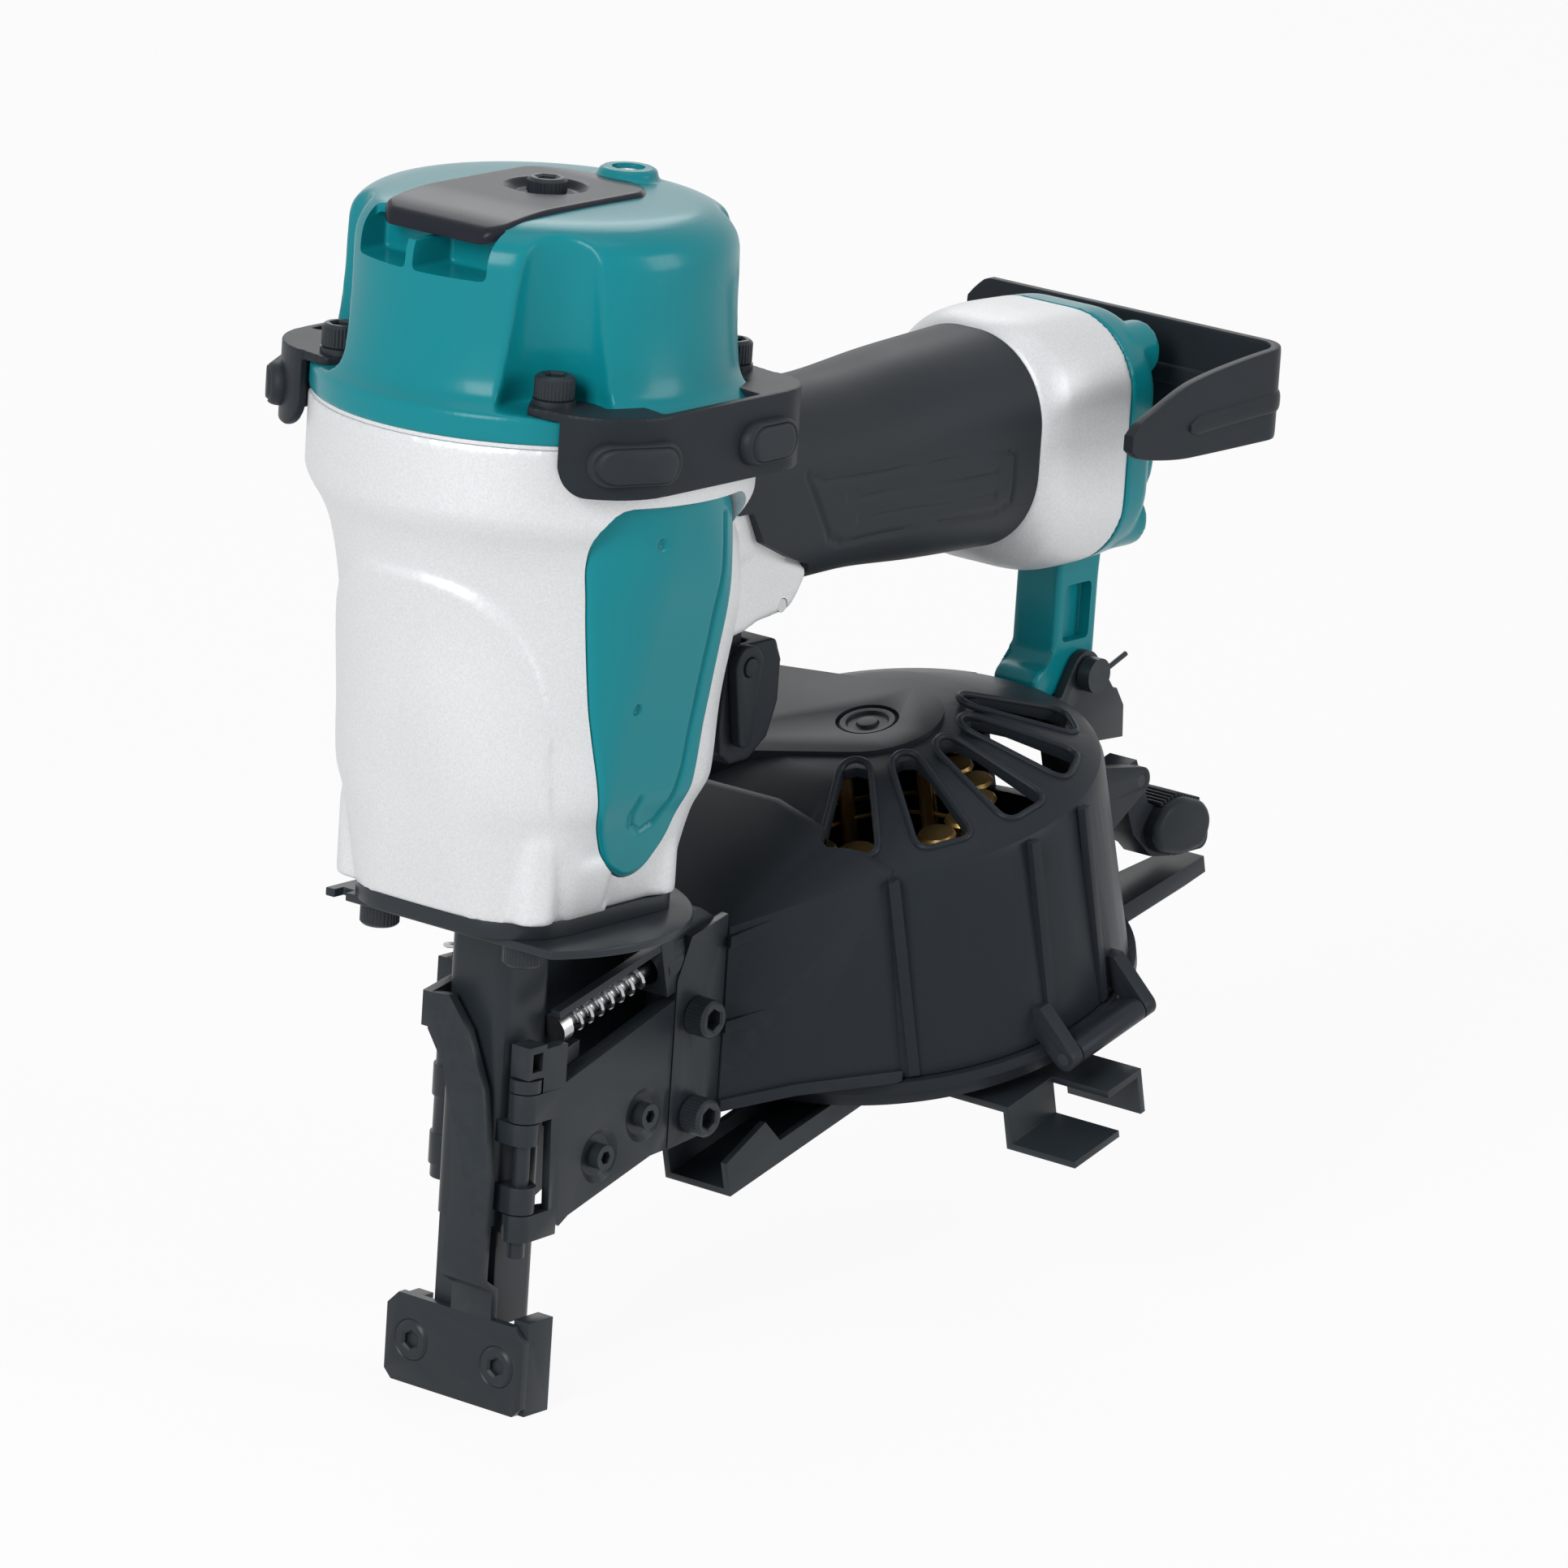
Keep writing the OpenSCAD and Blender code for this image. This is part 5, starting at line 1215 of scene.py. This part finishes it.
@dataclass
class EndCap:
    """Cap behind the handle with the inlet boss, the hook's boss and the arm to the magazine."""

    rings: tuple = (
        (176, 184.5, 24.5, 28.6, 18), (183, 184.5, 24.0, 28.0, 17.5), (185.6, 184.5, 22.8, 26.8, 17),
        (187, 184.5, 20.5, 24.5, 16))
    boss_r: float = 14.5
    hook_boss_r: float = 11.5
    arm: tuple = (
        (178.5, 165), (178.5, 131.7), (172.5, 129.7), (172.5, 124.2), (190, 122.7), (194, 127.7),
        (194, 150), (195, 162), (194, 170))
    arm_half: float = 6.0
    web: tuple = ((181.5, 136), (191, 136), (191, 149), (181.5, 149))
    face: float = 181.0
    bridge_half: float = 11.5
    # Radius and height of the posts under the bolts' heads, of the wells in them, and of the air's bore
    post: tuple = ((6.4, 0), (6.4, 8.6), (5.8, 9.2))
    well: tuple = ((4, 0), (4, 15))
    bore: tuple = ((7.5, 0), (7.5, 40))

    def build(self) -> None:
        """Builds the cap and sinks its bolts."""
        inlet = box("air_inlet")
        z, back, x = inlet[:, 2].mean(), inlet[1, 0], self.face
        hook_z = box("hook_screw")[:, 2].mean() - 3
        part = Part("end_cap_casting", Look.TEAL, "tool", ("end_cap",), voxel=0.6, passes=4)
        part.add(skin(loft_x(np.linspace(self.rings[0][0], self.rings[-1][0], 40), self.rings)))
        for r, turns, height in ((self.boss_r, 96, z), (self.hook_boss_r, 80, hook_z)):
            part.add(lathe([(r, 0), (r, back - x - 1), (r - 1, back - x)], turns, (x, 0, height), BACK))
        bridge = [(x, z), (back, z), (back, hook_z), (x, hook_z)]
        part.add(plate(bridge, -self.bridge_half, self.bridge_half, 0.8, 0.6),
                 plate(list(self.arm), -self.arm_half, self.arm_half, 2.5, 1.0))
        for low, high in solids_of("end_cap_bolts"):
            y, bolt_z = ((low + high) / 2)[1:]
            part.add(lathe(list(self.post), 56, (x, y * 0.99, bolt_z), BACK))
            part.cut(lathe(list(self.well), 40, (x + 1, y, bolt_z), BACK))
        part.cut(lathe(list(self.bore), 64, (self.rings[0][0], 0, z), BACK),
                 *[plate(list(self.web), y - 2, y + 2, 1.5, 0.4) for y in (-5, 5)])
        part.finish()


@dataclass
class HangingHook:
    """Flat hook that turns behind the handle: a crossbar, a round corner and an arm with a rib."""

    thick: float = 1.25
    corner: float = 6.0
    # How far the arm's upper and lower edges lie inside the box, at distances from the crossbar
    upper: tuple = ((0, 0), (14, 1), (34, 3.5), (50, 9), (54, 10.6), (56.5, 11.4))
    lower: tuple = ((0, 0), (14, 0), (34, 0.1), (50, 1.7), (54, 2.6), (56.5, 3.0))
    # The stretch of the line that the rib runs along
    rib: tuple = (8, 114)
    rib_half: float = 2.5
    rib_proud: float = 0.6

    def path(self) -> tuple[Array, Array]:
        """Gives the strap's middle line and half height.

        Returns:
            The line, which is the crossbar, a quarter circle and the arm, and the half heights. The
            arm's edges run in a monotone curve from the crossbar's height to its rounded tip.
        """
        low, high = box("hanging_hook")
        x1, y0, y1 = high[0] - self.thick, low[1] + self.thick, high[1]
        turn = np.linspace(0, TAU / 4, 14)[1:]
        bar = np.column_stack([np.full(60, x1), np.linspace(y1, y0 + self.corner, 60)])
        bend = np.column_stack([x1 - self.corner * (1 - np.cos(turn)), y0 + self.corner * (1 - np.sin(turn))])
        arm = np.column_stack([np.linspace(x1 - self.corner, low[0] + 0.5, 70)[1:], np.full(69, y0)])
        line = np.concatenate([bar, bend, arm])
        back = x1 - line[:, 0]
        upper, lower = high[2] - along(back, self.upper)[:, 0], low[2] + along(back, self.lower)[:, 0]
        return np.column_stack([line, (upper + lower) / 2]), (upper - lower) / 2

    def build(self) -> None:
        """Builds the strap and the raised rib along it."""
        line, half = self.path()
        place = np.arange(len(line))
        half = half * np.sqrt(np.clip((np.minimum(place, place[::-1]) + 1.5) / 5, 0, 1))
        stretch = slice(*self.rib)
        rib = line[stretch].copy()
        rib[:, 2] -= half[stretch] * 0.18
        high = self.rib_half * np.sqrt(np.clip((np.arange(len(rib))[::-1] + 0.6) / 5, 0, 1))
        part = Part("hook_strap", Look.PLASTIC, "hook", ("hanging_hook",), sharp=45)
        part.add(ribbon(line, half, self.thick, 0.16, 40),
                 ribbon(rib, high, self.thick + self.rib_proud, 0.6, 24)).finish()


# ---------------------------------------------------------------- magazine

@dataclass
class Magazine:
    """Round magazine: cover with windows, tray, latch and the coil of nails."""

    windows: int = 5
    first: float = -148.5
    pitch: float = 27.6
    window: tuple = ((22.5, -2.6), (43, -5.8), (44.6, -4.4), (44.6, 4.4), (43, 5.8), (22.5, 2.6), (21.2, 0))
    rim_r: float = 0.8
    hub: tuple = ((6.7, 0), (6.7, 1.5), (6.0, 1.9), (4.8, 1.8), (4.4, 1.2), (2.6, 1.2), (2.2, 1.8), (0, 1.8))
    # Radius and height of the cone's shoulder, and how far it goes in and up
    cone: tuple = (48.2, 49.4, 20.2, 9.2)
    top: float = 60.4
    latch_pad: tuple = (
        (2.5, -14.5), (8, -10.4), (14.5, -10.4), (22.5, -15.4), (24, -20.5), (20.5, -25.6), (12, -24.4), (4, -20))
    latch_ribs: tuple = ((8.6, -10.2), (14.3, -10.2), (21.8, -14.9))
    nail_head: float = 4.4
    nail_shank: float = 1.5
    nail_long: float = 40.6
    core_r: float = 14.0
    wires: tuple = (14.0, 27.0)
    wire_r: float = 0.55

    def __post_init__(self) -> None:
        """Takes the magazine's slope from the coil's joint."""
        coil = joint("coil_spin")
        self.axis = tuple(coil["axis"])
        self.origin = tuple(np.array(coil["pos_m"]) / MM - 20 * np.array(self.axis))

    def sloped(self, shape: Skin) -> Skin:
        """Sets a shape on the magazine's own axis."""
        return placed(shape, self.origin, self.axis)

    def rims(self) -> list[Skin]:
        """Gives the raised rims of the windows.

        Returns:
            One tube round each window. It lies on the cone between the shoulder and the top.
        """
        flat = resample(inset(anticlockwise(rounded_outline(list(self.window), 2.0)), -0.7), 72)
        shoulder, low, run, rise = self.cone
        out = []
        for k in range(self.windows):
            a = math.radians(self.first + k * self.pitch)
            turned = flat @ np.array([[math.cos(a), math.sin(a)], [-math.sin(a), math.cos(a)]])
            height = low + (shoulder - np.hypot(*turned.T)) / run * rise - 0.1
            out.append(self.sloped(tube(np.column_stack([turned, height]), self.rim_r, 10, True)))
        return out

    def pad_ribs(self) -> tuple[Skin, ...]:
        """Gives what is fused to the latch's lever.

        Returns:
            The rounded thumb pad and the ribs across its top.
        """
        pin = np.array(joint("latch_pull")["pos_m"]) / MM
        y = box("latch_lever")[:, 1].mean()
        shapes = [plate(list(self.latch_pad), y - 7.6, y + 7.6, 2.6, 1.8)]
        shapes += [tube(np.array([[x, y - 5.6, z], [x, y + 5.6, z]]), 0.55, 8)
                   for x, z in polyline(list(self.latch_ribs), 1.3)]
        return tuple(placed(shape, (pin[0], 0, pin[2]), self.axis) for shape in shapes)

    def nails(self) -> Part:
        """Winds the nails in a spiral, with two wires.

        Returns:
            The part. The spiral's radius falls by one head's width each turn, and the nails stand
            one head's width apart along it.
        """
        h, s, top = self.nail_head, self.nail_shank, self.nail_long
        pitch = 2 * h + 0.3
        low, high = box("nail_coil")
        outer, inner = (high[1] - low[1]) / 2 - h, self.core_r + h
        steps = np.linspace(0, (outer - inner) / pitch * TAU, 4000)
        r = outer - pitch * steps / TAU
        far = np.concatenate([[0], np.cumsum(r[1:] * np.diff(steps))])
        turn = np.interp(np.arange(0, far[-1], pitch), far, steps)
        profile = [(0.1, -2.4), (s, 1.2), (s, top), (h - 0.3, top + 0.3), (h, top + 0.7), (h - 0.5, top + 1.5),
                   (0.5, top + 1.8)]
        part = Part("nail_set", Look.BRASS, "nails", ("nail_coil",))
        for at in polar(outer - pitch * turn / TAU, turn, 0):
            part.add(self.sloped(lathe(profile, 14, tuple(at))))
        for height in self.wires:
            part.add(self.sloped(tube(polar(r + s, steps, height)[::22], self.wire_r, 6)))
        LOG.info("%d nails in the coil", len(turn))
        return part

    def build(self) -> None:
        """Builds the cover, the tray's group and the nails."""
        hub = self.sloped(lathe(list(self.hub), 64, (0, 0, self.top - 1.6)))
        from_cad("magazine_cover", Look.PLASTIC, width=0.8, extra=(*self.rims(), hub))
        from_cad("magazine_tray", Look.PLASTIC, width=0.5)
        from_cad("rear_bracket", Look.BLACK, width=0.5)
        from_cad("latch_lever", Look.PLASTIC, width=0.6, extra=self.pad_ribs())
        from_cad("shingle_gauge", Look.BLACK, width=0.35)
        self.nails().finish()


# ---------------------------------------------------------------- nose, trigger and screws

@dataclass
class ContactSpring:
    """Spring between the contact arm and the nose's wing; the coil is built at one length."""

    wire_r: float = 0.55
    turns: float = 3.0

    def build(self) -> None:
        """Builds the coil on the contact and gives it a mesh of its own. The contact's travel is read but not
        used.
        """
        low, high = box("contact_spring")
        (x, y, _), coil_r = (low + high) / 2, (high[0] - low[0]) / 2 - self.wire_r
        turn = np.linspace(0, self.turns * TAU, 130)
        z = np.linspace(low[2] + self.wire_r, high[2] - self.wire_r, turn.size)
        path = polar(coil_r, turn, z) + [x, y, 0]
        coil = Part("contact_spring_coil", Look.BRIGHT, "contact", ("contact_spring",))
        obj = coil.add(tube(path, self.wire_r, 12)).finish()
        travel = joint("contact_press")["range_m"][1] / MM
        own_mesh(obj)


@dataclass
class Softened:
    """Machined and pressed pieces whose CAD shape stays, with its edges broken."""

    steel: tuple = (
        ("nose", 0.4), ("nose_plate", 0.4), ("wing_plate", 0.3), ("contact_arm", 0.4), ("contact_link", 0.35),
        ("contact_foot", 0.5), ("depth_dial", 0.3), ("feed_cylinder", 0.3), ("feed_pawl", 0.2),
        ("feeder_door", 0.4), ("magazine_plate", 0.4))
    plastic: tuple = (("trigger_shaft", 0.4), ("mode_lever", 0.5))

    def build(self) -> None:
        """Builds the softened copies."""
        for look, pieces in ((Look.BLACK, self.steel), (Look.PLASTIC, self.plastic)):
            for node, width in pieces:
                from_cad(node, look, width=width)
        from_cad("trigger", Look.PLASTIC, voxel=0.4, passes=14)


@dataclass
class Screws:
    """Socket head screws, each group with the direction out of its heads."""

    groups: tuple = (
        ("cap_bolts", UP, Screw(4.25, 5.0, 2.5, 10, 2.1)),
        ("nose_bolts", (0, 0, -1), Screw(4.25, 5.0, 2.5, 6, 2.1)),
        ("magazine_bolts", (0, -1, 0), Screw(4.25, 5.4, 2.5, 4, 2.1)),
        ("exhaust_cover_screw", UP, Screw(4.25, 3.4, 2.5, 4, 2.0)),
        ("hook_screw", BACK, Screw(4.25, 5.0, 2.5, 4, 2.1)),
        ("end_cap_bolts", BACK, Screw(3.4, 4.0, 2.0, 4, 1.7)),
        ("gauge_screw", None, Screw(4.25, 3.0, 2.5, 4, 2.0)))
    foot: Screw = Screw(4.65, 2.6, 2.5, 3.0, 1.7, False)
    foot_seat: float = 2.25
    gauge_length: float = 9.2

    def build(self, slope: tuple) -> None:
        """Builds each group where the CAD's solids are.

        Args:
            slope: The magazine's axis, which the gauge's screw points against.
        """
        foot = Part("foot_screws_set", Look.BLACK, "contact", ("foot_screws",), sharp=30)
        for low, high in solids_of("foot_screws"):
            seat = (low[0] + self.foot_seat, *((low + high) / 2)[1:])
            foot.add(*self.foot.shape(seat, (-1, 0, 0)))
        foot.finish()
        for node, out, screw in self.groups:
            out = np.array(out or [-c for c in slope], float)
            part = Part(f"{node}_set", Look.BLACK, FRAME["nodes"][node]["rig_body"], (node,), sharp=30)
            for low, high in solids_of(node):
                reach = out * self.gauge_length / 2
                if np.isclose(np.abs(out).max(), 1):
                    reach = out * (high - low) / 2
                part.add(*screw.shape(tuple((low + high) / 2 + reach - out * screw.head_h), tuple(out)))
            part.finish()


# ---------------------------------------------------------------- studio

@dataclass
class Studio:
    """Camera, lamps, pale floor and white surroundings. Angles in degrees, lengths in metres."""

    azimuth: float = -52.23
    height: float = 14.91
    roll: float = 3.84
    lens: float = 228.9
    distance: float = 2.148
    target: tuple = (0.0924, 0.0, 0.1173)
    ambient: float = 0.22
    floor_white: float = 0.92
    # Name, place, size and watts
    lamps: tuple = (
        ("key", (-1.9, -0.35, 1.1), (0.8, 1.2), 31), ("fill", (0.9, -1.9, 0.8), (0.8, 1.2), 15.5),
        ("rim", (1.4, 1.3, 1.4), (1.0, 0.9), 7), ("top", (0.1, 0.0, 1.9), (1.2, 1.2), 3.5))

    def camera(self) -> None:
        """Aims the camera: its axes follow from the azimuth, the height and the roll."""
        a, e, r = (math.radians(v) for v in (self.azimuth, self.height, self.roll))
        back = Vector((math.sin(a) * math.cos(e), -math.cos(a) * math.cos(e), math.sin(e)))
        right = Vector((math.cos(a), math.sin(a), 0))
        up = back.cross(right)
        right, up = right * math.cos(r) + up * math.sin(r), up * math.cos(r) - right * math.sin(r)
        data = bpy.data.cameras.new("camera")
        data.lens, data.sensor_width, data.clip_end = self.lens, 36, 50
        obj = new_object("camera", data)
        place = Matrix((right, up, back)).transposed().to_4x4()
        place.translation = Vector(self.target) + back * self.distance
        obj.matrix_world = place
        bpy.context.scene.camera = obj

    def lamp(self, name: str, at: tuple, size: tuple, power: float) -> None:
        """Hangs a soft lamp that faces the target.

        Args:
            name: Its name.
            at: Its place.
            size: Its width and height.
            power: Its power in watts.
        """
        data = bpy.data.lights.new(name, "AREA")
        data.shape, data.size, data.size_y, data.energy = "RECTANGLE", *size, power
        obj = new_object(name, data)
        obj.location = at
        obj.rotation_euler = (Vector(self.target) - Vector(at)).to_track_quat("-Z", "Y").to_euler()

    def surroundings(self) -> None:
        """Sets a world that is white where it is seen, and softer as a light."""
        world = bpy.data.worlds.new("surroundings")
        bpy.context.scene.world = world
        g = Graph.of(world)
        strength = g.math("ADD", self.ambient, g.math("MULTIPLY", self.seen(g), 1 - self.ambient))
        shade = g.add("ShaderNodeBackground", Color=(1, 1, 1, 1), Strength=strength)
        g.add("ShaderNodeOutputWorld", Surface=shade.outputs[0])

    def seen(self, g: Graph) -> bpy.types.NodeSocket:
        """Picks out the rays from the camera and those that mirrors and glass pass on.

        Args:
            g: The graph to add to.
        Returns:
            A socket that is 1 for those rays and 0 for the rest.
        """
        path = g.add("ShaderNodeLightPath").outputs
        both = g.math("MAXIMUM", path["Is Camera Ray"], path["Is Glossy Ray"])
        return g.math("MAXIMUM", both, path["Is Transmission Ray"])

    def floor(self, z: float) -> None:
        """Lays a pale floor that keeps the tool's shadow.

        Args:
            z: Its height.
        """
        bpy.ops.mesh.primitive_plane_add(size=16, location=(0, 0, z))
        obj = bpy.context.object
        obj.name = "floor"
        material = bpy.data.materials.new("pale floor")
        g = Graph.of(material)
        matt = g.add("ShaderNodeBsdfDiffuse", Color=(0.9, 0.9, 0.9, 1))
        white = g.add("ShaderNodeEmission", Color=(1, 1, 1, 1), Strength=1.0)
        share = g.math("MULTIPLY", self.seen(g), self.floor_white)
        mixed = g.add("ShaderNodeMixShader", i0=share, i1=matt.outputs[0], i2=white.outputs[0])
        g.add("ShaderNodeOutputMaterial", Surface=mixed.outputs[0])
        obj.data.materials.append(material)
        obj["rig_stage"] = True

    def build(self, z: float) -> None:
        """Sets up the whole studio.

        Args:
            z: Height of the floor.
        """
        self.camera()
        for lamp in self.lamps:
            self.lamp(*lamp)
        self.surroundings()
        self.floor(z)
        bpy.context.scene.view_settings.view_transform = "Standard"


# ---------------------------------------------------------------- main

STAYING = {
    Look.BARE: ("cylinder_sleeve", "piston"), Look.RUBBER: ("piston_ring", "bumper"),
    Look.BRIGHT: ("driver_blade", "head_valve_spring", "valve_plunger", "valve_pin", "feed_piston", "feed_spring"),
    Look.PLASTIC: ("head_valve", "trigger_valve", "nail_platform"), Look.SILVER: ("head_gasket",),
    Look.BRASS: ("air_inlet",),
    Look.BLACK: ("cap_washers", "door_pin", "door_screws", "magazine_pins", "mount_pin")}


def dress_staying() -> None:
    """Gives each CAD node that stays its finish."""
    for look, nodes in STAYING.items():
        for node in nodes:
            for slot in FRAME["nodes"][node].material_slots:
                slot.material = look.material()
            LOG.info("%s keeps its CAD shape", node)


def main() -> None:
    """Builds every sub-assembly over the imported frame."""
    logging.basicConfig(level=logging.INFO, format="%(message)s")
    FRAME.update(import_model())
    cad_box = np.array(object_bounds()).tolist()
    Studio().build(cad_box[0][2])
    housing = Housing()
    insert = SideInsert(housing)
    housing.build([insert.pocket(-1), insert.pocket(1)])
    insert.build()
    HeadCap().build()
    ExhaustCover().build()
    Guards().build()
    Grip().build(housing)
    EndCap().build()
    HangingHook().build()
    magazine = Magazine()
    magazine.build()
    Softened().build()
    ContactSpring().build()
    Screws().build(magazine.axis)
    dress_staying()


if __name__ == "__main__":
    main()
